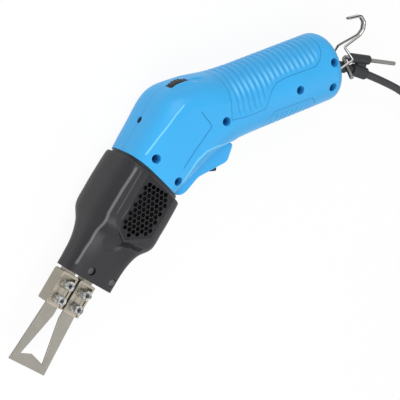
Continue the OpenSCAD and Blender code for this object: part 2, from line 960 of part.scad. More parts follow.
// Insulator: it fills the nose's front round the two shanks
insulator_len = 14;
insulator_lip = 1;

module electrode_insulator() {
  middle = (nose_front_top - nose_front_low) / 2;
  tall = (nose_front_top + nose_front_low) / 2 - wall - running;
  wide = nose_front_w / 2 - wall - running;
  color(resin)
    in_head()
      difference() {
        translate([insulator_lip - nose_front, middle, 0])
          rotate([90, 0, 90])
            linear_extrude(insulator_len)
              polygon([for (c = insulator_corner_shares) [tall * c[0], wide * c[1]]]);
        for (side = [-1, 1])
          translate([-nose_front, side * electrode_v - shank_h / 2 - leg_gap, shank_low - leg_gap])
            cube([2 * insulator_len, shank_h + 2 * leg_gap, shank_d + 2 * leg_gap]);
        nose_screw_holes_through();
      }
}

insulator_corner_shares = [
  [0.96, 0.56], [0.56, 0.96], [-0.56, 0.96], [-0.96, 0.56],
  [-0.96, -0.56], [-0.56, -0.96], [0.56, -0.96], [0.96, -0.56]
];

module nose_screw_holes_through() {
  for (s = nose_screw_shares)
    translate([nose_screw_back - nose_front, nose_front_low * s, -half_w])
      cylinder(d = screw_d + gap, h = body_w, $fn = small_fn);
}

module nose_screws() {
  color(bright)
    in_tool()
      nose_screw_places() {
        translate([0, 0, nose_screw_seat])
          screw_head(nose_screw_head_d, nose_screw_head_h);
        translate([0, 0, -nose_front_w / 2 + wall])
          cylinder(d = screw_d, h = nose_screw_seat + nose_front_w / 2 - wall, $fn = small_fn);
      }
}

slot_share = 0.18;
slot_depth_share = 0.4;

// A pan head with a cross slot
module screw_head(d, h) {
  difference() {
    cylinder(d = d, h = h, $fn = round_fn);
    for (a = [0, 90])
      rotate([0, 0, a])
        translate([0, 0, h])
          cube([d * (1 - slot_depth_share), d * slot_share, 2 * h * slot_depth_share], center = true);
  }
}

module housing_screws() {
  color(iron)
    in_tool()
      for (i = [0 : len(screw_places) - 1])
        translate([screw_places[i][0], screw_places[i][1], screw_seat(i)]) {
          screw_head(screw_head_d, screw_head_h);
          translate([0, 0, -screw_len])
            cylinder(d = screw_d, h = screw_len, $fn = small_fn);
        }
}

// Transformer: a core with two windows, its winding round the middle leg, and two copper bars
module transformer_core() {
  mid = core_back + core_len / 2;
  tall = core_top - core_low;
  opening = core_len / 2 - core_leg / 2 - core_limb;
  color(iron)
    in_head()
      difference() {
        translate([-core_back - core_len, core_low, -core_half_z])
          cube([core_len, tall, 2 * core_half_z]);
        for (s = [-1, 1])
          translate([-mid + s * (core_len / 2 + core_leg / 2 - core_limb) / 2, (core_top + core_low) / 2, 0])
            cube([opening, 2 * tall, 2 * (core_half_z - core_yoke)], center = true);
      }
}

module transformer_winding() {
  mid = core_back + core_len / 2;
  height = core_top - core_low;
  along = core_len - 2 * core_limb - 2 * winding_gap;
  across = 2 * (core_half_z - core_yoke - winding_gap);
  color(copper)
    in_head()
      translate([-mid, (core_top + core_low) / 2, 0])
        difference() {
          cube([along, height + 2 * winding_build, across], center = true);
          cube([core_leg + 2 * winding_gap, height + 2 * winding_gap, body_w], center = true);
        }
}

bar_t = 2.5;
bar_w = 10;
bar_start_share = 0.15;
bar_bend_share = 0.08;

// A strip of even thickness along a path
function strip(path, t) =
  let (
    last = len(path) - 1,
    normals = [for (i = [0 : last])
      let (
        a = path[max(i - 1, 0)],
        b = path[i],
        c = path[min(i + 1, last)],
        e = i == 0 ? (c - b) / norm(c - b) : (b - a) / norm(b - a),
        f = i == last ? e : (c - b) / norm(c - b),
        n = [-e[1], e[0]],
        m = [-f[1], f[0]]
      )
      (n + m) / (1 + n * m)]
  )
  concat(
    [for (i = [0 : last]) path[i] + normals[i] * t / 2],
    [for (i = [last : -1 : 0]) path[i] - normals[i] * t / 2]
  );

module busbar(side, seat) {
  start = core_back + core_len * bar_start_share;
  bend = core_back + core_len;
  level = seat + side * bar_t / 2;
  color(copper)
    in_head()
      translate([0, 0, shank_low + (shank_d - bar_w) / 2])
        linear_extrude(bar_w)
          polygon(strip([
            [-start, level],
            [-bend, level],
            [-shank_back + nose_len * bar_bend_share, side * electrode_v],
            [-shank_back, side * electrode_v]
          ], bar_t));
}

module upper_busbar() {
  busbar(1, core_top + winding_build);
}

module lower_busbar() {
  busbar(-1, core_low - winding_build);
}

// Blower in the handle: a frame that holds the motor, and a rotor on the motor's shaft
blower_at_share = 0.325;
frame_len = 12;
frame_wall = 2;
frame_r = min(half_w * handle_w_share, handle_h / 2) - wall - gap;
motor_d = 24;
motor_cup = 3;
motor_clear = 3;
motor_shaft_d = 2.5;
spokes = 3;
spoke_w = 3;
spoke_step = 0.5;
rotor_gap = 1;
rotor_hub_d = 12;
rotor_len = 7;
rotor_blades = 7;
rotor_blade_t = 1.2;
rotor_pitch = 35;
blower_x = blower_at_share * handle_len;
motor_len = board_x - blower_x - frame_len + motor_cup - motor_clear;
shaft_in = 10;

module along_handle(x) {
  translate([x, 0, 0])
    rotate([0, 90, 0])
      children();
}

module fan_frame() {
  color(black)
    in_tool()
      along_handle(blower_x) {
        difference() {
          cylinder(r = frame_r, h = frame_len, $fn = round_fn);
          translate([0, 0, -overrun])
            cylinder(r = frame_r - frame_wall, h = frame_len + 2 * overrun, $fn = round_fn);
        }
        difference() {
          union() {
            translate([0, 0, frame_len - motor_cup])
              cylinder(d = motor_d + 2 * frame_wall, h = motor_cup, $fn = round_fn);
            for (i = [0 : spokes - 1])
              rotate([0, 0, 360 * i / spokes])
                translate([motor_d / 2 + frame_wall / 2, -spoke_w / 2, frame_len - motor_cup + spoke_step])
                  cube([frame_r - motor_d / 2 - frame_wall, spoke_w, motor_cup - 2 * spoke_step]);
          }
          translate([0, 0, frame_len - motor_cup - overrun])
            cylinder(d = motor_d + 2 * running, h = motor_cup + 2 * overrun, $fn = round_fn);
        }
      }
}

module fan_motor() {
  color(iron)
    in_tool()
      along_handle(blower_x + frame_len - motor_cup)
        difference() {
          cylinder(d = motor_d, h = motor_len, $fn = round_fn);
          translate([0, 0, -overrun])
            cylinder(d = motor_shaft_d + 2 * running, h = shaft_in + overrun + gap, $fn = small_fn);
        }
}

module fan_rotor() {
  reach = frame_r - frame_wall - rotor_gap;
  front = frame_len - motor_cup - rotor_gap - rotor_len;
  color(black)
    in_tool()
      along_handle(blower_x + front) {
        cylinder(d = rotor_hub_d, h = rotor_len, $fn = round_fn);
        cylinder(d = motor_shaft_d, h = rotor_len + rotor_gap + shaft_in, $fn = small_fn);
        for (i = [0 : rotor_blades - 1])
          rotate([0, 0, 360 * i / rotor_blades])
            translate([rotor_hub_d / 4, 0, rotor_len / 2])
              rotate([rotor_pitch, 0, 0])
                translate([0, -rotor_blade_t / 2, -rotor_len / 2])
                  cube([reach - rotor_hub_d / 4 - rotor_gap, rotor_blade_t, rotor_len]);
      }
}

// Control board in the rear of the handle, with its heat sink and capacitor
sink_len_share = 0.44;
sink_len = board_len * sink_len_share;
sink_w = 12;
sink_rise_share = 0.17;
sink_h = handle_h * sink_rise_share;
sink_fins = 4;
sink_base = 2;
sink_fin_t = 1.2;
cap_share = 0.33;
cap_d = board_len * cap_share;
cap_rise_share = 0.17;
cap_len = handle_h * cap_rise_share;
board_inset = 1;

module control_board() {
  color(green)
    in_tool()
      translate([board_x + board_inset, board_y, -board_w / 2])
        cube([board_len - 2 * board_inset, board_t, board_w]);
}

module heat_sink() {
  color(bright)
    in_tool()
      translate([board_x + 2 * board_inset, board_y + board_t, -sink_w / 2]) {
        cube([sink_len, sink_base, sink_w]);
        for (i = [0 : sink_fins - 1])
          translate([0, 0, i * (sink_w - sink_fin_t) / (sink_fins - 1)])
            cube([sink_len, sink_h, sink_fin_t]);
      }
}

module capacitor() {
  color(iron)
    in_tool()
      translate([board_x + board_len - 2 * board_inset - cap_d / 2, board_y + board_t, 0])
        rotate([-90, 0, 0])
          cylinder(d = cap_d, h = cap_len, $fn = round_fn);
}

// Potentiometer and thumb wheel share an axis across the body
module dial_frame() {
  in_tool()
    translate([dial_at[0], dial_at[1], 0])
      children();
}

module potentiometer() {
  color(green)
    dial_frame() {
      translate([0, 0, pot_back])
        cylinder(d = pot_d, h = pot_h, $fn = round_fn);
      translate([0, 0, pot_back])
        cylinder(d = pot_shaft_d, h = pot_h + pot_gap + dial_w, $fn = small_fn);
    }
}

module power_dial() {
  color(black)
    dial_frame()
      difference() {
        translate([0, 0, dial_side])
          cylinder(d = dial_d, h = dial_w, $fn = round_fn);
        translate([0, 0, dial_side - overrun])
          cylinder(d = pot_shaft_d + 2 * running, h = dial_w + 2 * overrun, $fn = small_fn);
        for (i = [0 : dial_notches - 1])
          rotate([0, 0, 360 * i / dial_notches])
            translate([dial_d / 2, 0, dial_side - overrun])
              cylinder(d = dial_notch_d, h = dial_w + 2 * overrun, $fn = 8);
      }
}

module indicator_led() {
  color(red)
    in_tool()
      led_frame() {
        translate([0, 0, -wall - led_flange_h])
          cylinder(d = led_flange_d, h = led_flange_h, $fn = small_fn);
        translate([0, 0, -wall - led_flange_h])
          cylinder(d = led_d, h = wall + led_flange_h, $fn = small_fn);
      }
}

module switch_body() {
  bore = plunger_out + plunger_lift + plunger_room + overrun;
  color(black)
    in_tool()
      difference() {
        translate([plunger_x - switch_len / 2, switch_low, -switch_w / 2])
          cube([switch_len, switch_h, switch_w]);
        translate([plunger_x, switch_low - overrun, 0])
          rotate([-90, 0, 0])
            cylinder(d = plunger_d + 2 * running, h = bore, $fn = small_fn);
      }
}

module switch_plunger() {
  color(red)
    in_tool()
      translate([plunger_x, switch_low - plunger_out, 0])
        rotate([-90, 0, 0])
          cylinder(d = plunger_d, h = 2 * plunger_out, $fn = small_fn);
}

module trigger() {
  color(black)
    in_tool()
      difference() {
        union() {
          translate([0, 0, -trigger_w / 2])
            linear_extrude(trigger_w)
              polygon(trigger_outline);
          translate([trigger_at[0], trigger_at[1], -trigger_w / 2])
            cylinder(r = trigger_eye_r, h = trigger_w, $fn = round_fn);
        }
        translate([trigger_at[0], trigger_at[1], -trigger_w / 2 - overrun])
          cylinder(d = trigger_pin_d + 2 * running, h = trigger_w + 2 * overrun, $fn = small_fn);
      }
}

module trigger_pin() {
  reach = keel_w - wall - 2 * gap;
  color(bright)
    in_tool()
      translate([trigger_at[0], trigger_at[1], -reach / 2])
        cylinder(d = trigger_pin_d, h = reach, $fn = small_fn);
}

// Cord inside the handle, its clamp, and the boot at the rear
module cord_end() {
  color(rubber)
    in_tool()
      boot_inside()
        translate([0, 0, -boot_in - boot_flange_h - cord_end_len])
          cylinder(d = cord_d, h = cord_end_len, $fn = round_fn);
}

module cord_clamp() {
  color(black)
    in_tool()
      difference() {
        clamp_frame()
          translate([-cord_clamp_len / 2, -cord_clamp_w / 2, running])
            cube([cord_clamp_len, cord_clamp_w, cord_clamp_h]);
        clamp_frame()
          rotate([0, 90, 0])
            cylinder(d = cord_d + 2 * running, h = 2 * cord_clamp_len, center = true, $fn = round_fn);
        cord_screw_places()
          translate([0, 0, -overrun])
            cylinder(d = screw_d + gap, h = 2 * cord_clamp_h, $fn = small_fn);
      }
}

module cord_clamp_screws() {
  color(bright)
    in_tool()
      cord_screw_places() {
        translate([0, 0, running + cord_clamp_h])
          screw_head(screw_head_d, screw_head_h);
        translate([0, 0, running + cord_clamp_h - cord_screw_len])
          cylinder(d = screw_d, h = cord_screw_len, $fn = small_fn);
      }
}

module strain_relief() {
  color(rubber)
    in_tool() {
      boot_inside() {
        translate([0, 0, -boot_in - boot_flange_h])
          cylinder(r = boot_flange_r, h = boot_flange_h, $fn = round_fn);
        translate([0, 0, -boot_in - boot_flange_h / 2])
          cylinder(r = boot_r, h = boot_in + boot_flange_h / 2 + boot_knee, $fn = round_fn);
      }
      boot_outside()
        cylinder(r1 = boot_r, r2 = boot_tip_r, h = boot_len, $fn = round_fn);
    }
}

// Tubes swept along a path, with rings square to it
function unit(v) = v / norm(v);
function tangents(path) = [for (i = [0 : len(path) - 1])
  unit(path[min(i + 1, len(path) - 1)] - path[max(i - 1, 0)])];
function tube_rings(path, r, sides) =
  let (dirs = tangents(path))
  [for (i = [0 : len(path) - 1])
    let (
      side = unit(cross(abs(dirs[i][2]) > 0.9 ? [1, 0, 0] : [0, 0, 1], dirs[i])),
      rise = cross(dirs[i], side)
    )
    [for (k = [0 : sides - 1])
      path[i] + r * (side * cos(360 * k / sides) + rise * sin(360 * k / sides))]];

module tube(path, r, sides) {
  rings = tube_rings(path, r, sides);
  last = len(path) - 1;
  function at(i, k) = i * sides + k % sides;
  polyhedron(
    concat([for (q = rings) each q], [path[0], path[last]]),
    concat(
      [for (i = [0 : last - 1]) for (k = [0 : sides - 1]) each [
        [at(i, k), at(i + 1, k), at(i + 1, k + 1)],
        [at(i, k), at(i + 1, k + 1), at(i, k + 1)]
      ]],
      [for (k = [0 : sides - 1]) [at(0, k), at(0, k + 1), (last + 1) * sides]],
      [for (k = [0 : sides - 1]) [at(last, k), (last + 1) * sides + 1, at(last, k + 1)]]
    ),
    convexity = 10
  );
}

// Path with each inner corner rounded by a short arc of the given reach
corner_steps = 4;
function rounded(path, reach) = [for (i = [0 : len(path) - 1]) each
  i == 0 || i == len(path) - 1 ? [path[i]] :
  let (a = path[i] + unit(path[i - 1] - path[i]) * reach, c = path[i] + unit(path[i + 1] - path[i]) * reach)
  [for (k = [0 : corner_steps])
    let (s = k / corner_steps)
    (1 - s) * (1 - s) * a + 2 * s * (1 - s) * path[i] + s * s * c]];

// Hanging hook: a wire bail whose two legs close to a pair of wires that ends in a crook.
// Places are from the hook's pivot, for the left wire.
hook_leg_z = ear_w / 2 + hook_wire;
hook_pair_z = 1.6;
hook_neck_z = 4;
hook_leg = [14.1, 3.3];
hook_neck = [14.3, 12.1];
hook_stem = [31.6, 15.4];
hook_low = [36.3, 18.5];
hook_back = [38.4, 24];
hook_over = [36.1, 29.7];
hook_tip = [24.5, 31.1];
hook_bend = 1.5;
hook_sides = 8;
hook_left_wire = [
  [0, 0, hook_leg_z],
  [hook_leg[0], hook_leg[1], hook_leg_z],
  [hook_neck[0], hook_neck[1], hook_neck_z],
  [hook_stem[0], hook_stem[1], hook_pair_z],
  [hook_low[0], hook_low[1], hook_pair_z],
  [hook_back[0], hook_back[1], hook_pair_z],
  [hook_over[0], hook_over[1], hook_pair_z],
  [hook_tip[0], hook_tip[1], hook_pair_z]
];

module hanging_hook() {
  turned = [for (i = [len(hook_left_wire) - 1 : -1 : 0])
    [hook_left_wire[i][0], hook_left_wire[i][1], -hook_left_wire[i][2]]];
  path = rounded(concat(hook_left_wire, turned), hook_bend);
  foot = hook_leg_z - ear_w / 2 + hook_foot_len - gap + hook_wire / 2;
  color(bright)
    in_tool()
      translate([hook_at[0], hook_at[1], 0]) {
        tube(path, hook_wire / 2, hook_sides);
        for (s = [0, 1])
          mirror([0, 0, s])
            translate([0, 0, ear_w / 2 - hook_foot_len + gap])
              cylinder(d = hook_wire, h = foot, $fn = small_fn);
      }
}

// Cord route: points chosen by hand, from the boot to the coil
cord_route = [
  [168, -12.4, 26], [172, -15, 26], [180, -20.3, 26], [190, -27.5, 25], [200, -35, 23], [211, -43.5, 20],
  [223, -54, 16], [236, -65, 12], [249, -75.5, 8.5],
  [262, -83.5, 6], [275, -88.7, 4.4],
  [282, -90, 4], [288, -90, 4]
];
cord_sides = 10;
boot_mouth = [boot_end[0], boot_end[1], half_w];
cord_path = concat(
  [boot_mouth, boot_mouth + [boot_dir[0], boot_dir[1], 0] * cord_d / 2],
  cord_route
);

module supply_cord() {
  color(rubber)
    tube(cord_path, cord_d / 2, cord_sides);
}

// Coil: it spirals in on the lower layer, climbs over half a turn and spirals out on the upper layer
coil_start = [294, -90];
coil_r = 47.5;
coil_pitch = 6.6;
coil_turns_in = 3.375;
coil_turns_climb = 0.5;
coil_dip = 1.2;
coil_loop_rings = 24;
coil_sides = 6;
coil_low = 4;
coil_turns = 2 * coil_turns_in + coil_turns_climb;
coil_centre = coil_start + [0, coil_r];
coil_in_r = coil_r - coil_pitch * coil_turns_in;
function coil_radius(n) =
  n < coil_turns_in ? coil_r - coil_pitch * n :
  n > coil_turns_in + coil_turns_climb ? coil_in_r + coil_pitch * (n - coil_turns_in - coil_turns_climb) :
  coil_in_r - coil_dip * sin(180 * (n - coil_turns_in) / coil_turns_climb);
function coil_height(n) =
  let (s = min(1, max(0, (n - coil_turns_in) / coil_turns_climb)))
  coil_low + coil_pitch * (1 - cos(180 * s)) / 2;
function coil_point(n) =
  let (a = 360 * n - 90, r = coil_radius(n))
  [coil_centre[0] + r * cos(a), coil_centre[1] + r * sin(a), coil_height(n)];
coil_last = coil_point(coil_turns);
coil_tail = 28;
coil_end = coil_last + [0, coil_tail, 0];
coil_steps = round(coil_turns * coil_loop_rings);
coil_path = concat(
  [[coil_start[0] - cord_d, coil_start[1], coil_low]],
  [for (i = [0 : coil_steps]) coil_point(coil_turns * i / coil_steps)],
  [coil_end]
);
// Least distance between wires of the coil, measured on points more than half a turn apart
coil_near = min([for (i = [0 : len(coil_path) - 1])
  for (j = [i + coil_loop_rings / 2 : 1 : len(coil_path) - 1])
    norm(coil_path[i] - coil_path[j])]);
coil_gap = coil_near - cord_d;
echo(coil_gap = coil_gap);

module cord_coil() {
  color(rubber)
    tube(coil_path, cord_d / 2, coil_sides);
}

// Tie: a strap round both layers of the coil
tie_w = 12;
tie_t = 0.7;
tie_at = 60;
tie_in_r = coil_in_r - coil_dip - cord_d / 2 - gap;
tie_out_r = coil_r + cord_d / 2 + gap;

module cord_tie() {
  color(rubber)
    translate([coil_centre[0], coil_centre[1], 0])
      rotate([0, 0, tie_at])
        difference() {
          translate([tie_in_r - tie_t, -tie_w / 2, 0])
            cube([tie_out_r - tie_in_r + 2 * tie_t, tie_w, coil_low + coil_pitch + cord_d / 2 + gap + tie_t]);
          translate([tie_in_r, -tie_w, tie_t])
            cube([tie_out_r - tie_in_r, 2 * tie_w, coil_low + coil_pitch + cord_d / 2 + gap - tie_t]);
        }
}

// Rubber clip on the cord, with a sleeve for the hex key. The places are chosen by hand, beside the cord.
clip_from = [168, -12.4];
clip_to = [180, -20.3];
clip_len = norm(clip_to - clip_from);
clip_wall = 1.8;
clip_cord_d = cord_d + 2 * clip_wall;
clip_key_d = 7.4;
clip_sleeve_len = 19;
web_from_share = 0.2;
web_h = 9;
key_from = [161.7, -0.2];
key_to = [209.4, -21.7];
key_out = 7;
key_r = key_af / sqrt(3);
key_lean = -48;
key_bend = 4;
function heading(a, b) = atan2(b[1] - a[1], b[0] - a[0]);

module clip_frame() {
  in_tool()
    translate([clip_from[0], clip_from[1], 0])
      rotate([0, 0, heading(clip_from, clip_to)])
        children();
}

module key_frame() {
  in_tool()
    translate([key_from[0], key_from[1], 0])
      rotate([0, 0, heading(key_from, key_to)])
        children();
}

module key_clip() {
  color(rubber)
    difference() {
      union() {
        clip_frame() {
          rotate([0, 90, 0])
            cylinder(d = clip_cord_d, h = clip_len, $fn = round_fn);
          translate([clip_len * web_from_share, 0, -clip_key_d / 4])
            cube([clip_len * (1 - 2 * web_from_share), web_h, clip_key_d / 2]);
        }
        key_frame()
          translate([key_out, 0, 0])
            rotate([0, 90, 0])
              cylinder(d = clip_key_d, h = clip_sleeve_len, $fn = round_fn);
      }
      clip_frame()
        translate([-overrun, 0, 0])
          rotate([0, 90, 0])
            cylinder(d = cord_d + 2 * gap, h = clip_len + 2 * overrun, $fn = round_fn);
      key_frame()
        translate([key_out - overrun, 0, 0])
          rotate([0, 90, 0])
            cylinder(r = key_r + running, h = clip_sleeve_len + 2 * overrun, $fn = round_fn);
    }
}

module hex_key() {
  color(bright)
    key_frame()
      rotate([key_lean, 0, 0]) {
        translate([key_bend, 0, 0])
          rotate([0, 90, 0])
            cylinder(r = key_r, h = key_long - key_bend, $fn = 6);
        translate([key_bend, -key_bend, 0])
          rotate([0, 0, 90])
            rotate_extrude(angle = 90, $fn = round_fn)
              translate([key_bend, 0])
                rotate(90)
                  circle(r = key_r, $fn = 6);
        translate([0, -key_bend, 0])
          rotate([90, 0, 0])
            rotate([0, 0, 90])
              cylinder(r = key_r, h = key_short - key_bend, $fn = 6);
      }
}

// Plug beside the coil, at the end of the upper layer
plug_neck = 14;
plug_len = 36;
plug_w = 34;
plug_h = 20;
plug_corner = 7;
plug_pin_len = 19;
plug_neck_share = 0.8;
plug_flare_share = 1.4;
plug_shank_share = 0.75;
plug_neck_r = cord_d * plug_neck_share;
plug_mouth_r = plug_neck_r * plug_flare_share;
plug_shank_d = plug_pin_d * plug_shank_share;
plug_face = plug_neck + plug_len;

module plug_frame() {
  translate(coil_end)
    rotate([-90, 0, 0])
      children();
}

module plug_body() {
  color(rubber)
    plug_frame()
      difference() {
        union() {
          cylinder(r1 = plug_neck_r, r2 = plug_mouth_r, h = plug_neck + plug_corner, $fn = round_fn);
          translate([0, 0, plug_neck])
            linear_extrude(plug_len)
              hull()
                for (s = [-1, 1])
                  translate([s * (plug_w - plug_h) / 2, 0])
                    circle(d = plug_h, $fn = 32);
        }
        for (s = [-1, 1])
          translate([s * plug_pitch / 2, 0, plug_neck + plug_len / 2])
            cylinder(d = plug_shank_d + 2 * running, h = plug_len, $fn = small_fn);
      }
}

module plug_pins() {
  color(bright)
    plug_frame()
      for (s = [-1, 1])
        translate([s * plug_pitch / 2, 0, plug_face]) {
          translate([0, 0, gap - plug_len / 2])
            cylinder(d = plug_shank_d, h = plug_len / 2, $fn = small_fn);
          translate([0, 0, running])
            cylinder(d = plug_pin_d, h = plug_pin_len - running, $fn = small_fn);
        }
}

left_housing();
right_housing();
nose_left();
nose_right();
vent_grille_left();
vent_grille_right();
upper_electrode();
lower_electrode();
clamp_plates();
clamp_screws();
blade();
electrode_insulator();
nose_screws();
housing_screws();
transformer_core();
transformer_winding();
upper_busbar();
lower_busbar();
fan_motor();
fan_frame();
fan_rotor();
control_board();
heat_sink();
capacitor();
potentiometer();
power_dial();
indicator_led();
switch_body();
switch_plunger();
trigger();
trigger_pin();
cord_end();
cord_clamp();
cord_clamp_screws();
strain_relief();
hanging_hook();
key_clip();
hex_key();
supply_cord();
cord_coil();
cord_tie();
plug_body();
plug_pins();
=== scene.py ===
"""Looks of the electric hot knife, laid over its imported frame.

Lengths inside are millimetres in the tool's own frame.
"""

import math

import bpy
import numpy as np
from mathutils import Matrix, Vector


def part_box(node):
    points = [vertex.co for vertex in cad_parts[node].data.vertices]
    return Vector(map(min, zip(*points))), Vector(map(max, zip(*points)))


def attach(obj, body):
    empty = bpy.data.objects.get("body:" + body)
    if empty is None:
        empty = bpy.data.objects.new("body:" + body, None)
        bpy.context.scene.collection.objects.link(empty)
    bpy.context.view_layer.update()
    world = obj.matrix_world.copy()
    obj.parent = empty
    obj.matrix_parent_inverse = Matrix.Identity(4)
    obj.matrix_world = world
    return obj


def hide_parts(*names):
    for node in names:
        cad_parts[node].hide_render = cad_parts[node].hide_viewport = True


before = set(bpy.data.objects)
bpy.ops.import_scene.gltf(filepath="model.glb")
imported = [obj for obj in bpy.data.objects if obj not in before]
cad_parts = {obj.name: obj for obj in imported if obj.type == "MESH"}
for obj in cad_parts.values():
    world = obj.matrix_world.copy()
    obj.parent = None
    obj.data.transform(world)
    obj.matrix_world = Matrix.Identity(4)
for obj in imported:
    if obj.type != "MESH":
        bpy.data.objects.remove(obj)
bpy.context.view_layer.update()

bl_info = {
    "name": "Electric hot knife",
    "version": (1, 0, 0),
    "blender": (4, 5, 0),
    "location": "View3D > Sidebar > Hot knife",
    "description": "Builds the moulded skins, cord, fittings and finishes of an electric hot knife",
    "category": "Add Mesh",
}

MM = 0.001

# Sizes of the frame, as the part's source has them
HALF_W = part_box("left_housing")[1].z / MM / 2
WALL = 2.5
HANDLE_H = 52.8
HANDLE_LEN = 145.0
REAR_ROUND = 9.5
BEND = math.radians(41)
JOINT_AT = 34.0
JOINT_LEAN = math.radians(10)
HEAD_TOP = 20.5
HEAD_LOW = 26.0
NOSE_LEN = 87.0
NOSE_FRONT_W = 26.0
CORD_D = 6.0
BOOT_TILT = math.radians(24)
BOOT_ROOT = np.array([HANDLE_LEN, -2.0])
BOOT_LEN = 18.5
BOOT_AHEAD = np.array([math.cos(BOOT_TILT), -math.sin(BOOT_TILT)])
HOOK_AT = np.array([HANDLE_LEN + 2.5, -4.0])
# How far a cutting tool runs past the parting plane or a face
CUT_PAST = 1.0


def paint(red, green, blue):
    """A screen colour, 0 to 255, as the linear colour that the shader takes."""
    share = np.array([red, green, blue]) / 255
    linear = np.where(share <= 0.04045, share / 12.92, ((share + 0.055) / 1.055) ** 2.4)
    return tuple(float(x) for x in linear)


# Shader wires and finishes


class Wire:
    """A shader socket; arithmetic on wires adds Math nodes."""

    def __init__(self, graph, socket):
        self.graph = graph
        self.socket = socket

    def maths(self, operation, *values):
        return self.graph.node("ShaderNodeMath", {"operation": operation}, dict(enumerate(values)))

    def __add__(self, other):
        return self.maths("ADD", self, other)

    def __radd__(self, other):
        return self.maths("ADD", other, self)

    def __sub__(self, other):
        return self.maths("SUBTRACT", self, other)

    def __rsub__(self, other):
        return self.maths("SUBTRACT", other, self)

    def __mul__(self, other):
        return self.maths("MULTIPLY", self, other)

    def __rmul__(self, other):
        return self.maths("MULTIPLY", other, self)

    def __abs__(self):
        return self.maths("ABSOLUTE", self)


class Graph:
    """A node tree in the making, with the one method that adds nodes."""

    def __init__(self, tree):
        self.tree = tree

    def plug(self, socket, value):
        if isinstance(value, Wire):
            self.tree.links.new(value.socket, socket)
        else:
            socket.default_value = value

    def node(self, kind, settings=None, sockets=None, output=0):
        node = self.tree.nodes.new(kind)
        for name, value in (settings or {}).items():
            setattr(node, name, value)
        for key, value in (sockets or {}).items():
            self.plug(node.inputs[key], value)
        return Wire(self, node.outputs[output])

    def direct(self):
        """1 on rays that show a surface: straight from the camera, mirrored, or through something clear."""
        rays = [f"Is {kind} Ray" for kind in ("Camera", "Glossy", "Transmission")]
        straight, mirrored, clear = (self.node("ShaderNodeLightPath", output=ray) for ray in rays)
        return straight + mirrored + clear


class Finish(Graph):
    """A material in the making, with its Principled shader and the patterns that finishes share."""

    def __init__(self, name, **constants):
        self.material = bpy.data.materials.new(name)
        self.material.use_nodes = True
        super().__init__(self.material.node_tree)
        self.shader = self.tree.nodes["Principled BSDF"]
        self.place = self.node("ShaderNodeTexCoord", output="Object")
        self.set(**constants)

    def set(self, **values):
        """Shader sockets by name, with underscores for the spaces."""
        for name, value in values.items():
            if not isinstance(value, Wire) and not np.isscalar(value):
                value = (*value, 1.0)[:4]
            self.plug(self.shader.inputs[name.replace("_", " ")], value)
        return self

    def noise(self, scale, detail=2.0, stretch=None, turn=0.0):
        """Cloudy noise; stretch and turn lay it along a direction of the tool."""
        place = self.place
        if stretch is not None:
            place = self.node(
                "ShaderNodeMapping", {}, {"Vector": place, "Rotation": (0, 0, turn), "Scale": stretch}
            )
        return self.node("ShaderNodeTexNoise", {}, {"Vector": place, "Scale": scale, "Detail": detail})

    def mix(self, share, first, second):
        """Colour from first at 0 to second at 1."""
        sockets = {0: share, 6: first, 7: second}
        for key in (6, 7):
            if not isinstance(sockets[key], Wire):
                sockets[key] = (*sockets[key], 1.0)[:4]
        return self.node("ShaderNodeMix", {"data_type": "RGBA"}, sockets, 2)

    def step(self, value, low, high):
        """Smooth step: 0 below low, 1 above high."""
        return self.node(
            "ShaderNodeMapRange",
            {"interpolation_type": "SMOOTHSTEP"},
            {"Value": value, "From Min": low, "From Max": high},
        )

    def bump(self, height, distance, strength=1.0):
        return self.node("ShaderNodeBump", {}, {"Height": height, "Distance": distance, "Strength": strength})

    def attribute(self, name):
        return self.node("ShaderNodeAttribute", {"attribute_name": name}, output="Fac")

    def line(self, name, half):
        """A drawn line: 1 where the attribute, a signed distance in mm, is nearer zero than half."""
        return 1.0 - self.step(abs(self.attribute(name)), half * 0.6, half * 1.4)


def shade(colour, share):
    return tuple(min(1.0, c * share) for c in colour)


def moulded_plastic(name, colour, rough, grain=0.00004, lines=(), specular=0.3, painted_tints=()):
    """Injection moulded plastic: even colour with a faint cloud, fine spark-eroded grain and drawn lines,
    some of them moulding lines and some painted highlights along edges. A line is an attribute, half a width
    in mm, its colour and how much of it shows. Each of the hollows, painted shade in a hollow or a painted
    highlight, is an attribute, the value that tints in full, its colour and how much of it shows."""
    f = Finish(name, Specular_IOR_Level=specular)
    cloud = f.noise(35, 3)
    spark = f.noise(2600, 2)
    base = f.mix(cloud, shade(colour, 0.95), shade(colour, 1.05))
    height = spark
    for attribute, full, tint, share in painted_tints:
        base = f.mix(share * f.step(f.attribute(attribute), 0.0, full), base, tint)
    for attribute, half, tint, share in lines:
        drawn = share * f.line(attribute, half)
        if attribute in BODY_PATHS or attribute in NOSE_PATHS:
            drawn = drawn * f.step(f.attribute(f"{attribute}_run"), 0.0, 2.5)
        base = f.mix(drawn, base, tint)
        height = height - 3.0 * drawn
    f.set(Base_Color=base, Roughness=rough + 0.12 * (cloud - 0.5) + 0.06 * (spark - 0.5))
    f.set(Normal=f.bump(height, grain))
    return f.material


def metal(name, colour, rough, brushed=None, turn=0.0, clouds=0.12, coat=0.0, band=None):
    """Metal with a grain: long fine scratches along a direction, and a soft cloud of tarnish.
    A band is an attribute from -1 to 1; the metal is dark where it is low, as a painted dark reflection."""
    f = Finish(name, Metallic=1.0, Coat_Weight=coat)
    cloud = f.noise(90, 4)
    scratch = f.noise(1.0, 3, brushed or (2400, 2400, 2400), turn)
    base = f.mix(cloud, shade(colour, 1 - clouds), shade(colour, 1 + clouds))
    base = f.mix(0.35 * scratch, base, shade(colour, 0.7))
    if band:
        base = f.mix(f.step(f.attribute(band), -0.7, 0.3), shade(colour, 0.12), base)
    f.set(Base_Color=base, Roughness=rough + 0.18 * (scratch - 0.5) + 0.1 * (cloud - 0.5))
    f.set(Normal=f.bump(scratch, 0.00003))
    return f.material


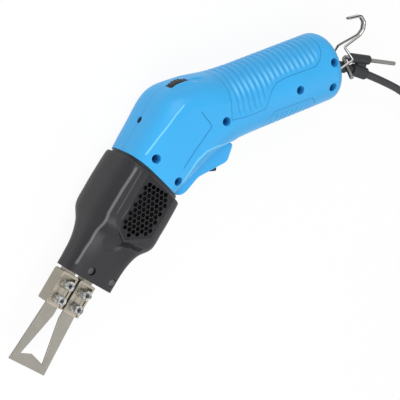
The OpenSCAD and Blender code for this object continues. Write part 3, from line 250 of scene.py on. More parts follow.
def rubber(name, colour, rough=0.55):
    """Soft rubber or flexible sheath: dark, satin, with a dusty cloud."""
    f = Finish(name, Specular_IOR_Level=0.4)
    cloud = f.noise(60, 4)
    skin = f.noise(1800, 2)
    f.set(Base_Color=f.mix(f.step(cloud, 0.45, 0.8), colour, shade(colour, 1.5)))
    f.set(Roughness=rough + 0.15 * (cloud - 0.5), Normal=f.bump(skin, 0.00004))
    return f.material


def striped(name, scale, first, second, **constants):
    """Fine stripes along the tool's width, for laminations and wound wire, with the stripes as a wire."""
    f = Finish(name, **constants)
    stripe = f.node("ShaderNodeTexWave", {"bands_direction": "Z"}, {"Vector": f.place, "Scale": scale}, 1)
    f.set(Base_Color=f.mix(stripe, first, second))
    return f, stripe


def clouded(name, scale, detail, first, second, **constants):
    """One colour clouding into another."""
    f = Finish(name, **constants)
    f.set(Base_Color=f.mix(f.noise(scale, detail), first, second))
    return f.material


# Shapes as arrays


def unit(vectors):
    return vectors / np.linalg.norm(vectors, axis=-1, keepdims=True)


def head_points(t, v):
    """Head coordinates, forward t and up v, as tool x and y."""
    t, v = np.asarray(t, float), np.asarray(v, float)
    c, s = math.cos(BEND), math.sin(BEND)
    return np.stack([-t * c - v * s, -t * s + v * c], -1)


def head_places(points):
    """Tool places as head coordinates, forward t and up v."""
    x, y = points[..., 0], points[..., 1]
    return -x * math.cos(BEND) - y * math.sin(BEND), -x * math.sin(BEND) + y * math.cos(BEND)


def through(points, steps):
    """Catmull-Rom curve: each span is a cubic from its two ends and the points before and after it."""
    p = np.asarray(points, float)
    i = np.arange(len(p) - 1)
    around = np.maximum(i - 1, 0), i, i + 1, np.minimum(i + 2, len(p) - 1)
    a, b, c, d = (p[k][:, None] for k in around)
    s = (np.arange(steps) / steps)[None, :, None]
    spans = b + s / 2 * (c - a + s * (2 * a - 5 * b + 4 * c - d + s * (3 * (b - c) + d - a)))
    return np.concatenate([spans.reshape(-1, p.shape[1]), p[-1:]])


def evenly(rows, count):
    """Rows placed at equal lengths along the curve that they make."""
    run = np.concatenate([[0], np.cumsum(np.linalg.norm(np.diff(rows[:, :4], axis=0), axis=1))])
    at = np.linspace(0, run[-1], count)
    return np.stack([np.interp(at, run, column) for column in rows.T], 1)


def half_rings(rows, inset, steps):
    """Half sections of the loft: superellipses in polar form, from the low point to the top, clipped at the
    flat."""
    top, low, wide, power = rows[:, 0:2], rows[:, 2:4], rows[:, 4:5], rows[:, 5:6]
    tall = np.linalg.norm(top - low, axis=1, keepdims=True)
    up, mid = (top - low) / tall, (top + low) / 2
    angle = np.radians(np.linspace(-90, 90, steps + 1))
    c, s = np.abs(np.cos(angle)), np.abs(np.sin(angle))
    reach = (c**power + s**power) ** (-1 / power)
    v = (tall / 2 - inset) * reach * np.sin(angle)
    z = np.minimum(HALF_W - inset, (wide - inset) * reach * c)
    z[:, [0, -1]] = 0
    return np.stack([mid[:, 0:1] + up[:, 0:1] * v, mid[:, 1:2] + up[:, 1:2] * v, z], 2)


def grid_normals(grid):
    """Outward normals of a grid: the cross product of its two directions."""
    return unit(np.cross(np.gradient(grid, axis=0), np.gradient(grid, axis=1)))


def grid_quads(rows, columns, start=0, wrap=False):
    """Corner indices of the quads of a grid of points, wound along the rows and then the columns."""
    i, j = np.meshgrid(np.arange(rows - 1), np.arange(columns if wrap else columns - 1), indexing="ij")
    k = (j + 1) % columns
    quads = np.stack([i * columns + j, (i + 1) * columns + j, (i + 1) * columns + k, i * columns + k], -1)
    return start + quads.reshape(-1, 4)


def put(name, points, *face_sets, flip=False, lift=HALF_W, smooth=True):
    """A mesh object from an array of points in mm and arrays of faces, each with one count of corners."""
    face_sets = [np.asarray(f)[:, ::-1] if flip else np.asarray(f) for f in face_sets if len(f)]
    corners = np.concatenate([f.ravel() for f in face_sets]).astype(np.int32)
    sizes = np.concatenate([np.full(len(f), f.shape[1]) for f in face_sets]).astype(np.int32)
    points = (np.asarray(points, float).reshape(-1, 3) + [0, 0, lift]) * MM
    mesh = bpy.data.meshes.new(name)
    mesh.vertices.add(len(points))
    mesh.vertices.foreach_set("co", points.astype(np.float32).ravel())
    mesh.loops.add(len(corners))
    mesh.loops.foreach_set("vertex_index", corners)
    mesh.polygons.add(len(sizes))
    mesh.polygons.foreach_set("loop_start", (np.cumsum(sizes) - sizes).astype(np.int32))
    mesh.polygons.foreach_set("use_smooth", np.full(len(sizes), smooth))
    mesh.update(calc_edges=True)
    if mesh.validate():
        raise RuntimeError(f"{name} has faces that are not sound")
    piece = bpy.data.objects.new(name, mesh)
    bpy.context.scene.collection.objects.link(piece)
    return piece


def closed(name, rings, lift=HALF_W, flip=False):
    """A closed body from rings of points: quads between the rings and a flat face at each end."""
    count, sides = rings.shape[:2]
    quads = grid_quads(count, sides, wrap=True)[:, ::-1]
    ends = np.stack([np.arange(sides)[::-1], (count - 1) * sides + np.arange(sides)])
    return put(name, rings, quads, ends, flip=flip, lift=lift)


def wall_shell(name, outer, inner, capped, mirrored):
    """A moulded half: an outer and an inner grid joined round the parting plane and at both ends.
    A capped end closes on a middle point; an open end is a ring."""
    rows, columns = outer.shape[:2]
    total = rows * columns
    o, n = np.arange(total).reshape(rows, columns), np.arange(total).reshape(rows, columns) + total
    ends = []
    middles = np.zeros((0, 3))
    skins = [grid_quads(rows, columns), grid_quads(rows, columns, total)[:, ::-1]]
    rims = [
        np.stack([o[:-1, 0], n[:-1, 0], n[1:, 0], o[1:, 0]], 1),
        np.stack([o[:-1, -1], o[1:, -1], n[1:, -1], n[:-1, -1]], 1),
        np.stack([o[0, :-1], o[0, 1:], n[0, 1:], n[0, :-1]], 1),
    ]
    if capped:
        middles = np.stack([(g[-1, 0] + g[-1, -1]) / 2 for g in (outer, inner)])
        c, d = np.full(columns - 1, 2 * total), np.full(columns - 1, 2 * total + 1)
        ends = [np.stack([o[-1, 1:], o[-1, :-1], c], 1), np.stack([n[-1, :-1], n[-1, 1:], d], 1)]
        rims.append(np.array([[o[-1, 0], n[-1, 0], d[0], c[0]], [o[-1, -1], c[0], d[0], n[-1, -1]]]))
    else:
        rims.append(np.stack([o[-1, :-1], n[-1, :-1], n[-1, 1:], o[-1, 1:]], 1))
    points = np.concatenate([outer.reshape(-1, 3), inner.reshape(-1, 3), middles])
    if mirrored:
        points = points * [1, 1, -1]
    return put(name, points, *skins, *rims, *ends, flip=mirrored)


def seated(grid):
    """A half's grid held inside the tool's width, with its two edges on the parting plane."""
    grid[..., 2] = np.minimum(grid[..., 2], HALF_W)
    grid[:, [0, -1], 2] = 0
    return grid


def box_outline(left, low, right, high):
    """Corners of an oblong, counter-clockwise."""
    return [(left, low), (right, low), (right, high), (left, high)]


def corner_curves(start, corner, end, steps):
    """Quadratic curves from start to end, each drawn towards its corner."""
    s = np.linspace(0, 1, steps)[None, :, None]
    curves = (1 - s) ** 2 * start[:, None] + 2 * s * (1 - s) * corner[:, None] + s * s * end[:, None]
    return curves.reshape(-1, corner.shape[1])


def rounded_outline(corners, reach, steps=7):
    """Each corner becomes a quadratic curve that begins and ends the reach away from it along its sides."""
    p = np.asarray(corners, float)
    back, on = np.roll(p, 1, 0) - p, np.roll(p, -1, 0) - p
    near = [np.minimum(reach, 0.48 * np.linalg.norm(q, axis=1, keepdims=True)) for q in (back, on)]
    a, c = p + unit(back) * near[0], p + unit(on) * near[1]
    return corner_curves(a, p, c, steps)


def shrunk(outline, distance):
    """A counter-clockwise outline moved inward along its sides."""
    e, f = unit(outline - np.roll(outline, 1, 0)), unit(np.roll(outline, -1, 0) - outline)
    n, m = np.stack([-e[:, 1], e[:, 0]], 1), np.stack([-f[:, 1], f[:, 0]], 1)
    return outline + (n + m) * distance / (1 + (n * m).sum(1, keepdims=True))


def prism(name, outline, low, high, edge=0.0, steps=5, mirrored=False):
    """A prism on a counter-clockwise outline; its upper rim is a quarter round of the edge radius."""
    outline = np.asarray(outline, float)
    turn = np.radians(np.linspace(0, 90, steps)) if edge else np.zeros(1)
    levels = np.concatenate([[low], high - edge + edge * np.sin(turn)])
    insets = np.concatenate([[0], edge * (1 - np.cos(turn))])
    count = len(outline)
    rings = [np.column_stack([shrunk(outline, d), np.full(count, z)]) for d, z in zip(insets, levels)]
    return closed(name, np.stack(rings) * [1, 1, -1 if mirrored else 1], flip=mirrored)


def turned(name, profile, origin, axis, sides=32):
    """A turned solid: a profile of distances along the axis and radii carried round it, its ends closed."""
    profile = np.asarray(profile, float)
    axis = unit(np.asarray(axis, float))
    side = unit(np.cross(axis, [0, 0, 1] if abs(axis[2]) < 0.9 else [1, 0, 0]))
    rise = np.cross(axis, side)
    angle = np.linspace(0, 2 * np.pi, sides, endpoint=False)
    ring = np.cos(angle)[:, None] * side + np.sin(angle)[:, None] * rise
    grid = np.asarray(origin, float) + profile[:, None, :1] * axis + profile[:, None, 1:] * ring
    return closed(name, grid)


def tube(name, path, radius, sides, lift=HALF_W):
    """A closed tube: at each place of the path, the radius times a turning pair of directions across it."""
    path = np.asarray(path, float)
    ahead = unit(np.gradient(path, axis=0))
    across = unit(np.cross(np.where(np.abs(ahead[:, 2:]) > 0.9, [1.0, 0, 0], [0, 0, 1.0]), ahead))
    rise = np.cross(ahead, across)
    angle = np.linspace(0, 2 * np.pi, sides, endpoint=False)[None, :, None]
    radius = np.broadcast_to(np.asarray(radius, float), (len(path),))[:, None, None]
    ring = np.cos(angle) * across[:, None] + np.sin(angle) * rise[:, None]
    return closed(name, path[:, None] + radius * ring, lift)


def combine(piece, tool, operation):
    """Boolean of a piece with a tool, applied to the piece's mesh; the tool goes."""
    step = piece.modifiers.new(operation.lower(), "BOOLEAN")
    step.operation, step.solver, step.object = operation, "MANIFOLD", tool
    bpy.context.view_layer.update()
    mesh = bpy.data.meshes.new_from_object(piece.evaluated_get(bpy.context.evaluated_depsgraph_get()))
    piece.modifiers.clear()
    if not mesh.polygons:
        raise RuntimeError(f"{piece.name}: the {operation.lower()} with {tool.name} left nothing")
    piece.data = mesh
    bpy.data.objects.remove(tool)


def drill(piece, radius, at, axis, low, high, sides=24):
    """Cuts a round hole along an axis through a place."""
    combine(piece, turned("drill", [(low, radius), (high, radius)], at, axis, sides), "DIFFERENCE")


def carve(piece, outline, low, high, mirrored):
    """Cuts an opening with straight sides out of a half."""
    combine(piece, prism("cutter", outline, low, high, mirrored=mirrored), "DIFFERENCE")


def crisp(piece, degrees=30):
    """Sharp edges over the angle; elsewhere the large faces lead the shading."""
    piece.data.set_sharp_from_angle(angle=math.radians(degrees))
    lead = piece.modifiers.new("shading", "WEIGHTED_NORMAL")
    lead.mode, lead.weight, lead.keep_sharp = "FACE_AREA", 50, True
    return piece


def wear(piece, material, body, slot, *replaced):
    """Gives a new piece its finish, its body and the nodes that it stands for; the slot is not used."""
    piece.data.materials.clear()
    piece.data.materials.append(material)
    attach(piece, body)
    if replaced:
        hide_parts(*replaced)
    return piece


def dress(node, material, edge=0.0, rim=None):
    """Gives a CAD node its finish, and a small round on its edges, which may have a paler finish of its own
    as a painted highlight.
    """
    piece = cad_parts[node]
    if not piece.material_slots:
        piece.data.materials.append(material)
    for slot in piece.material_slots:
        slot.material = material
    if edge:
        weld = piece.modifiers.new("weld", "WELD")
        weld.merge_threshold = 0.000005
        bevel = piece.modifiers.new("edge", "BEVEL")
        bevel.width, bevel.segments, bevel.limit_method = edge * MM, 2, "ANGLE"
        bevel.angle_limit = math.radians(28)
        if rim:
            piece.data.materials.append(rim)
            bevel.material = len(piece.material_slots) - 1
    return piece


def vertices_mm(piece):
    """Vertex places in the tool's frame, in mm from the parting plane."""
    flat = np.empty(len(piece.data.vertices) * 3, np.float32)
    piece.data.vertices.foreach_get("co", flat)
    return flat.reshape(-1, 3) / MM - [0, 0, HALF_W]


def mark_path(piece, name, places, path):
    """Keeps the distance to a path and the distance from its ends, for a line in the finish."""
    away, run = trace(places[:, 0], places[:, 1], path)
    mark(piece, name, away)
    mark(piece, f"{name}_run", run)


def mark(piece, name, values):
    """Keeps one number per vertex for the finish to read."""
    layer = piece.data.attributes.new(name, "FLOAT", "POINT")
    layer.data.foreach_set("value", np.asarray(values, np.float32))


def outline_distance(x, y, corners):
    """Signed distance to a closed outline: the nearest side's distance, positive inside."""
    corners = np.asarray(corners, float)
    a, b = corners, np.roll(corners, -1, 0)
    point = np.stack([x, y], -1)[..., None, :]
    along = b - a
    share = np.clip(((point - a) * along).sum(-1) / (along**2).sum(-1), 0, 1)
    away = np.linalg.norm(point - (a + share[..., None] * along), axis=-1).min(-1)
    above = (a[:, 1] > y[..., None]) != (b[:, 1] > y[..., None])
    rise = np.where(b[:, 1] == a[:, 1], 1e-9, b[:, 1] - a[:, 1])
    crossing = x[..., None] < a[:, 0] + (y[..., None] - a[:, 1]) / rise * (b[:, 0] - a[:, 0])
    return away * np.where((above & crossing).sum(-1) % 2 == 1, 1, -1)


def trace(x, y, path):
    """Signed distance to an open path that runs on straight past its ends, and the distance inward from its
    ends."""
    path = np.asarray(path, float)
    a, b = path[:-1], path[1:]
    along = b - a
    length = np.linalg.norm(along, axis=1)
    point = np.stack([x, y], -1)[..., None, :]
    share = ((point - a) * along).sum(-1) / length**2
    low = np.where(np.arange(len(a)) == 0, -50.0, 0.0)
    high = np.where(np.arange(len(a)) == len(a) - 1, 50.0, 1.0)
    share = np.clip(share, low, high)
    gap = point - (a + share[..., None] * along)
    away = np.linalg.norm(gap, axis=-1)
    near = away.argmin(-1)[..., None]
    side = np.sign(along[:, 0] * gap[..., 1] - along[:, 1] * gap[..., 0])
    run = np.concatenate([[0], np.cumsum(length)])[:-1] + share * length
    pick = [np.take_along_axis(q, near, -1)[..., 0] for q in (away, side, run)]
    return pick[0] * np.where(pick[1] < 0, -1, 1), np.minimum(pick[2], length.sum() - pick[2])


def crest(grid, path, height, width):
    """Raises a ridge on a grid along a path: the height times the square of what is left of the width."""
    away, run = trace(grid[..., 0], grid[..., 1], path)
    rise = height * np.clip(1 - np.abs(away) / width, 0, 1) ** 2 * smooth_step(run, 0, 6)
    return grid + rise[..., None] * grid_normals(grid)


def smooth_step(x, low, high):
    """0 below low and 1 above high, with a cubic between them."""
    s = np.clip((x - low) / (high - low), 0, 1)
    return s * s * (3 - 2 * s)


def plateau(x, start, full, last, end):
    """Rises from 0 to 1 between the first two places and falls again between the last two."""
    return smooth_step(x, start, full) * (1 - smooth_step(x, last, end))


# Body

ELBOW_TOP = [[-0.02, 0.50], [0.42, 0.55], [0.84, 0.512]]
ELBOW_LOW = [[0.40, -0.57], [0.61, -0.52], [0.85, -0.503]]
ELBOW_SQUARE = [3.5, 2.9, 2.3]
# Lines on the skin: places read off pixels in the photo and cast onto the skin, then rounded to half
# millimetres. A scratch script cast pixels picked in the photo onto the skin to get these places, which were
# then rounded to half millimetres.
GRIP_BORDER = [
    (43, 30), (44, 23.5), (44.5, 17), (43.5, 12), (43, 7), (41, -4), (52, -5.5), (70, -6), (78, 5.5),
    (84, 9.5), (92, 10.5), (120, 10), (125, 13), (129, 17), (131, 22), (131, 60), (43, 60),
]
LOWER_GRIP = [(66, -24), (79, -11), (113, -12.5), (118, -20), (118, -60), (66, -60)]
NEAR_RIDGE = [(-30.5, -6), (-24, -1), (-16.5, 4.5), (-9, 9.5), (-1.5, 15), (8, 20)]
PANEL_LINE = [(17.5, 11.5), (23, 0.5), (24, -2), (23, -3.5), (7.5, -14.5), (-6, -25)]
HOOD_RIDGE = [(-8, -35), (1, -27.5), (7.5, -22.5), (16, -19), (25.5, -19), (34.5, -21), (52, -25)]
# Lines that end, by the attribute that keeps the distance to each
BODY_PATHS = {"near_ridge": NEAR_RIDGE, "panel": PANEL_LINE, "hood_ridge": HOOD_RIDGE}
GRIP_FADE, RIB_START = (0.5, 5.0), 49.0
GLEAM_Y, GLEAM_W, GLEAM_SHIFT = 14.5, 5.0, 0.4
# Beside the thumb wheel: the scoop's middle and half sizes, and where the lip starts, is full and ends
SCOOP_AT, SCOOP_SIZE = (28.0, 9.0), (7.0, 5.0)
LIP_ALONG, LIP_ACROSS, CROWN_FROM = (5, 14, 23, 30), (6, 9, 10, 15), 15.0
SCREW_RECESS, SCREW_LEN = 11.0, 26.0
RECESS_R, HOLE_R, THREAD_R, BOSS_R, BOSS_SHY = 3.3, 1.65, 1.53, 4.0, 1.5
HEAD_SCREWS = head_points([JOINT_AT * 0.72, JOINT_AT * 0.86], [HEAD_TOP * 0.40, -HEAD_LOW * 0.66])
HANDLE_SCREWS = [
    (0.69 * HANDLE_H, -0.065 * HANDLE_H),
    (0.705 * HANDLE_LEN, -0.045 * HANDLE_H),
    (0.94 * HANDLE_LEN, 0.14 * HANDLE_H),
    (0.91 * HANDLE_LEN, -0.20 * HANDLE_H),
]
SCREWS = np.concatenate([HEAD_SCREWS, HANDLE_SCREWS])
SCREW_WALLS = HALF_W * np.array([0.97, 0.92, 0.99, 0.98, 0.94, 0.91])
DIAL_D, DIAL_W, DIAL_SIDE, DIAL_PLAY = 26.0, 8.5, 0.5, 0.5
DIAL_AT = np.array([0.295 * HANDLE_H, 0.55 * HANDLE_H + DIAL_D * 0.075 - DIAL_D / 2])
HOOD_REAR, HOOD_DROP, HOOD_FRONT, KEEL_W = 38.0, 38.0, 38.0 * 0.32, 26.0
KEEL_ROUND, KEEL_EDGE = 3.0, 0.8
SLOT_FRONT, SLOT_LOW, SLOT_HIGH, SLOT_W = 10.3, -43.0, -33.0, 7.9
EAR_REAR, EAR_LOW, EAR_HIGH, EAR_W, EAR_EDGE = 150.0, -8.5, 0.5, 11.0, 1.0
LED_R, BOOT_HOLE_R, FOOT_R, FOOT_SIDE = 2.56, 6.0, 1.06, 7.5
TRIGGER_REAR = HOOD_REAR - WALL - 0.4


def joint_t(v):
    return JOINT_AT - v * math.tan(JOINT_LEAN)


def handle_row(x, shrink):
    half = HANDLE_H / 2 - shrink
    x, half = np.broadcast_arrays(x, half)
    return np.stack([x, half, x, -half, HALF_W - shrink + 0 * x, 2.1 + 0 * x], -1)


def body_rows(end_inset, count):
    """Rows of the body from the joint to the rear: a smooth bend, a straight handle, a rounded rear edge."""
    top = head_points(joint_t(HEAD_TOP), HEAD_TOP)
    low = head_points(joint_t(-HEAD_LOW), -HEAD_LOW)
    crown = head_points(JOINT_AT * 0.35, HEAD_TOP)
    wide = HALF_W * 1.03
    rows = [[*top, *low, HALF_W, 3.2], [*crown, 0.10 * HANDLE_H, -0.69 * HANDLE_H, wide, 3.6]]
    for t, b, square in zip(ELBOW_TOP, ELBOW_LOW, ELBOW_SQUARE):
        rows.append([*np.multiply(t, HANDLE_H), *np.multiply(b, HANDLE_H), wide, square])
    rows.append(handle_row(1.2 * HANDLE_H, 0.0))
    angle = np.radians(np.linspace(0, 80, 24))
    back = HANDLE_LEN - end_inset - REAR_ROUND * (1 - np.sin(angle))
    rear = handle_row(back, REAR_ROUND * (1 - np.cos(angle)))
    return evenly(np.concatenate([through(rows, 24), rear]), count)


def keel_outline():
    """The hood over the trigger and the lobe under the joint, counter-clockwise."""
    drop = HEAD_LOW * math.tan(JOINT_LEAN)
    ahead = [joint_t(-HEAD_LOW) * s - drop for s in (1.04, 0.95)]
    lobes = head_points(ahead, [-HEAD_LOW * s for s in (1.27, 1.37)])
    return np.concatenate([
        [head_points(joint_t(-HEAD_LOW), -HEAD_LOW)],
        lobes,
        [[HOOD_FRONT, -HOOD_DROP - WALL], [HOOD_REAR, -HOOD_DROP], [HOOD_REAR * 1.21, -HANDLE_H / 2]],
        [[HOOD_REAR, -0.44 * HANDLE_H], [HOOD_FRONT, -0.44 * HANDLE_H]],
        [head_points(JOINT_AT, -HEAD_LOW + WALL / 2)],
    ])


def rib_wave(x, look, shift=0.0):
    """Grooves between the grip ribs: the cube of a cosine wave along the handle."""
    return (0.5 + 0.5 * np.cos(2 * np.pi * ((x - RIB_START) / look.rib_pitch - shift))) ** 3


def grip_distance(x, y):
    """Signed distance to the nearer of the two ribbed fields, positive inside."""
    return np.maximum(outline_distance(x, y, GRIP_BORDER), outline_distance(x, y, LOWER_GRIP))


def in_grip(x, y):
    """1 inside the ribbed fields, fading to 0 at their borders."""
    return smooth_step(grip_distance(x, y), *GRIP_FADE)


def screw_depth(p):
    """How far below the mouth of its screw recess a place on the recess's wall is; zero elsewhere."""
    gap = np.linalg.norm(p[:, None, :2] - SCREWS[None], axis=2)
    deep = np.where(gap < 3.4, SCREW_WALLS[None] - p[:, 2:], 0)
    return np.clip(deep.max(1), 0, SCREW_RECESS)


def body_skin(side, look):
    """The outer grid of a half: the loft with ribs pressed in and ridges raised. The left one has a lip and a
    scoop beside the thumb wheel."""
    grid = half_rings(body_rows(0, look.body_rings), 0, look.body_steps)
    x, y = grid[..., 0], grid[..., 1]
    ribs = look.rib_depth * in_grip(x, y) * rib_wave(x, look)
    grid = grid - ribs[..., None] * grid_normals(grid)
    grid = crest(grid, NEAR_RIDGE, height=0.35, width=2.5)
    grid = crest(grid, HOOD_RIDGE, height=0.6, width=4.0)
    if side > 0:
        z = grid[..., 2]
        along, across = (x - SCOOP_AT[0]) / SCOOP_SIZE[0], (z - SCOOP_AT[1]) / SCOOP_SIZE[1]
        scoop = smooth_step(1 - along**2 - across**2, 0, 0.8)
        lip = plateau(x, *LIP_ALONG) * plateau(z, *LIP_ACROSS)
        rise = look.lip_height * lip - look.scoop_depth * scoop
        grid = grid + (rise * (y > CROWN_FROM))[..., None] * grid_normals(grid)
    return seated(grid)


def body_half(name, side, look):
    """One moulded half of the body: the wall under its skin, the hood, bosses and ear added, and the openings
    cut."""
    mirrored = side < 0
    flank = [1, 1, side]
    inner = half_rings(body_rows(WALL, look.body_rings), WALL, look.body_steps)
    piece = wall_shell(name, body_skin(side, look), inner, True, mirrored)
    keel = rounded_outline(keel_outline(), KEEL_ROUND)
    combine(piece, prism("keel", keel, 0, KEEL_W / 2, KEEL_EDGE, mirrored=mirrored), "UNION")
    ear = box_outline(HANDLE_LEN - WALL, EAR_LOW, EAR_REAR, EAR_HIGH)
    combine(piece, prism("ear", ear, 0, EAR_W, EAR_EDGE, mirrored=mirrored), "UNION")
    for (x, y), height in zip(SCREWS, SCREW_WALLS):
        boss = [(0, BOSS_R), (height - BOSS_SHY, BOSS_R)]
        combine(piece, turned("boss", boss, (x, y, 0), (0, 0, side)), "UNION")
    pocket = [
        (HOOD_FRONT - WALL, -HOOD_DROP / 2), (HOOD_FRONT - WALL, -HOOD_DROP + WALL),
        (HOOD_REAR - WALL, -HOOD_DROP + WALL), (HOOD_REAR, -HANDLE_H / 2 + WALL), (HOOD_REAR, -HOOD_DROP / 2),
    ]
    carve(piece, pocket, -CUT_PAST, KEEL_W / 2 - WALL, mirrored)
    slot = box_outline(SLOT_FRONT, SLOT_LOW, TRIGGER_REAR, SLOT_HIGH)
    carve(piece, slot, -CUT_PAST, SLOT_W, mirrored)
    if side > 0:
        deep = DIAL_SIDE + DIAL_W + DIAL_PLAY
        drill(piece, DIAL_D / 2 + DIAL_PLAY, (*DIAL_AT, 0), (0, 0, 1), -CUT_PAST, deep, 72)
    led = head_points(JOINT_AT * 0.16, HEAD_TOP - 8)
    drill(piece, LED_R, (*led, 0), (-math.sin(BEND), math.cos(BEND), 0), 0, 16, 40)
    drill(piece, BOOT_HOLE_R, (*BOOT_ROOT, 0), (1, 0, 0), -5, 3, 48)
    drill(piece, BOOT_HOLE_R, (*BOOT_ROOT, 0), (*BOOT_AHEAD, 0), 0, 18, 48)
    drill(piece, FOOT_R, np.multiply((*HOOK_AT, FOOT_SIDE), flank), (0, 0, side), 0, 6)
    for (x, y), height in zip(SCREWS, SCREW_WALLS):
        if side > 0:
            seat = (x, y, height - SCREW_RECESS)
            drill(piece, RECESS_R, seat, (0, 0, 1), 0, 20, 40)
            drill(piece, HOLE_R, seat, (0, 0, 1), -40, 20)
        else:
            depth = SCREW_LEN - height + SCREW_RECESS + 1.5
            drill(piece, THREAD_R, (x, y, 0), (0, 0, -1), -CUT_PAST, depth)
    p = vertices_mm(piece)
    x, y, z = p.T
    inside = in_grip(x, y)
    shine = np.exp(-(((y - GLEAM_Y) / GLEAM_W) ** 2))
    mark(piece, "grip_edge", grip_distance(x, y))
    # The groove and depth marks carry painted shade, and the gleam mark a painted highlight.
    mark(piece, "groove", inside * rib_wave(x, look))
    mark(piece, "gleam", inside * rib_wave(x, look, GLEAM_SHIFT) * shine)
    mark(piece, "depth", screw_depth(p))
    mark(piece, "seam", z)
    for line, path in BODY_PATHS.items():
        mark_path(piece, line, p, path)
    return crisp(piece)


# Nose

# A short collar and a shoulder behind the first rows of the part's source
NOSE_ROWS = [
    (0.00, 0.55, 0.45, 0.93, 3.2, 1.0), (0.020, 0.58, 0.48, 0.94, 3.2, 1.0),
    (0.034, 0.82, 0.84, 1.02, 3.4, 0.95), (0.05, 0.95, 0.95, 1.07, 3.6, 0.9),
    (0.20, 1.00, 1.00, 1.10, 3.6, 0.6), (0.36, 1.00, 1.00, 1.10, 3.6, 0.4),
    (0.51, 0.95, 0.97, 1.04, 3.5, 0.2), (0.62, 0.48, 0.40, 0.48, 3.4, 0.1),
    (0.72, 0.16, 0.12, 0.22, 3.5, 0.0), (0.83, 0.00, 0.00, 0.08, 3.7, 0.0),
    (1.00, 0.00, 0.00, 0.00, 4.0, 0.0),
]
NOSE_TOP, NOSE_LOW, NOSE_FRONT_TOP, NOSE_FRONT_LOW = 23.0, 33.5, 15.5, 27.0
# Corners on the nose's side, in shares of its length and of its depth
WINDOW = (
    [0.463, 0.517, 0.570, 0.450, 0.100, 0.064, 0.020],
    [0.215, 0.134, -0.080, -0.610, -0.625, -0.440, 0.215],
)
COWL = ([0.300, 0.460, 0.532, 0.593, 0.478, 0.300], [0.228, 0.252, 0.166, -0.092, -0.723, -0.630])
OUTLET = ([0.534, 0.500, 0.602, 0.602, 0.647], [-0.185, -0.690, -0.670, -0.415, -0.160])
# Lines on the skin, found in the same way as the body's
NOSE_RIDGE = head_points([35.5, 45, 55, 73, 84, 96, 107, 116], [17, 17.5, 18, 18, 15.5, 13, 12.5, 12.5])
THIN_LINE = head_points([35.5, 54, 72], [13.5, 13.5, 13.5])
VENT_RIM = head_points([36, 54, 71, 75.5, 82.5], [5.5, 6.5, 8, 5, -1])
NOSE_PATHS = {"nose_ridge": NOSE_RIDGE, "thin_line": THIN_LINE, "vent_rim": VENT_RIM}
DISH_AT, DISH_R = (89.0, -1.0), 8.0
COLLAR_PLAY, COLLAR_WALL, SHOULDER_AT = 0.3, 2.0, 2.8
NOSE_SCREWS, NOSE_SCREW_BACK, NOSE_THREAD_LEN = (-0.02, -0.765), 7.0, 11.75
SEAT_R, SEAT_AT = 3.0, 10.8


def nose_rows():
    """Rows of the nose from its front to the joint: full behind the shoulder, a narrow neck before it."""
    s = np.array(NOSE_ROWS)
    t = JOINT_AT + 0.1 + (NOSE_LEN - 0.1) * s[:, 0]
    top = NOSE_FRONT_TOP + (NOSE_TOP - NOSE_FRONT_TOP) * s[:, 1]
    low = NOSE_FRONT_LOW + (NOSE_LOW - NOSE_FRONT_LOW) * s[:, 2]
    lean = np.tan(JOINT_LEAN * s[:, 5])
    wide = NOSE_FRONT_W / 2 + (HALF_W - NOSE_FRONT_W / 2) * s[:, 3]
    over, under = head_points(t - top * lean, top), head_points(t + low * lean, -low)
    return through(np.column_stack([over, under, wide, s[:, 4]]), 24)[::-1]


def nose_outline(shares):
    """Corners on the nose's side, from shares of its length and of its depth."""
    along, up = shares
    return head_points(JOINT_AT + NOSE_LEN * np.array(along), NOSE_LOW * np.array(up))


def nose_half(name, side, look):
    """One moulded half of the nose with its cowl, and with the window, the air outlet and the screw seats
    cut."""
    mirrored = side < 0
    steps = look.body_steps
    rows = evenly(nose_rows(), look.nose_rings)
    collar = evenly(through(body_rows(0, 200)[:6:5], 4)[::-1], 4)[::-1]
    skin = crest(half_rings(rows, 0, steps), NOSE_RIDGE, height=0.5, width=4.0)
    t, v = head_places(skin)
    dish = smooth_step(DISH_R - np.hypot(t - DISH_AT[0], v - DISH_AT[1]), 0, 3)
    skin = seated(skin - (look.dish_depth * dish)[..., None] * grid_normals(skin))
    inset = WALL + COLLAR_PLAY
    outer = np.concatenate([skin, half_rings(collar, inset, steps)])
    inner = np.concatenate([half_rings(rows, WALL, steps), half_rings(collar, inset + COLLAR_WALL, steps)])
    piece = wall_shell(name, outer, inner, False, mirrored)
    under = HALF_W - WALL - 0.4
    cowl = prism("cowl", nose_outline(COWL), under, HALF_W - 0.1, 0.7, mirrored=mirrored)
    combine(piece, cowl, "UNION")
    window = nose_outline(WINDOW)
    carve(piece, window, HALF_W - 1.6, HALF_W + 2, mirrored)
    carve(piece, shrunk(window, 0.5), HALF_W - 6, HALF_W + 2, mirrored)
    carve(piece, nose_outline(OUTLET), HALF_W / 4, under + 0.2, mirrored)
    for share in NOSE_SCREWS:
        at = head_points(JOINT_AT + NOSE_LEN - NOSE_SCREW_BACK, NOSE_FRONT_LOW * share)
        if side > 0:
            drill(piece, SEAT_R, (*at, SEAT_AT), (0, 0, 1), 0, 20, 40)
            drill(piece, HOLE_R, (*at, 0), (0, 0, 1), -CUT_PAST, 40)
        else:
            drill(piece, THREAD_R, (*at, 0), (0, 0, -1), -CUT_PAST, NOSE_THREAD_LEN)
    p = vertices_mm(piece)
    t, v = head_places(p)
    mark(piece, "shoulder", t + v * math.tan(JOINT_LEAN) - JOINT_AT - SHOULDER_AT)
    for line, path in NOSE_PATHS.items():
        mark_path(piece, line, p, path)
    return crisp(piece)


# Cord, boot, clip and plug

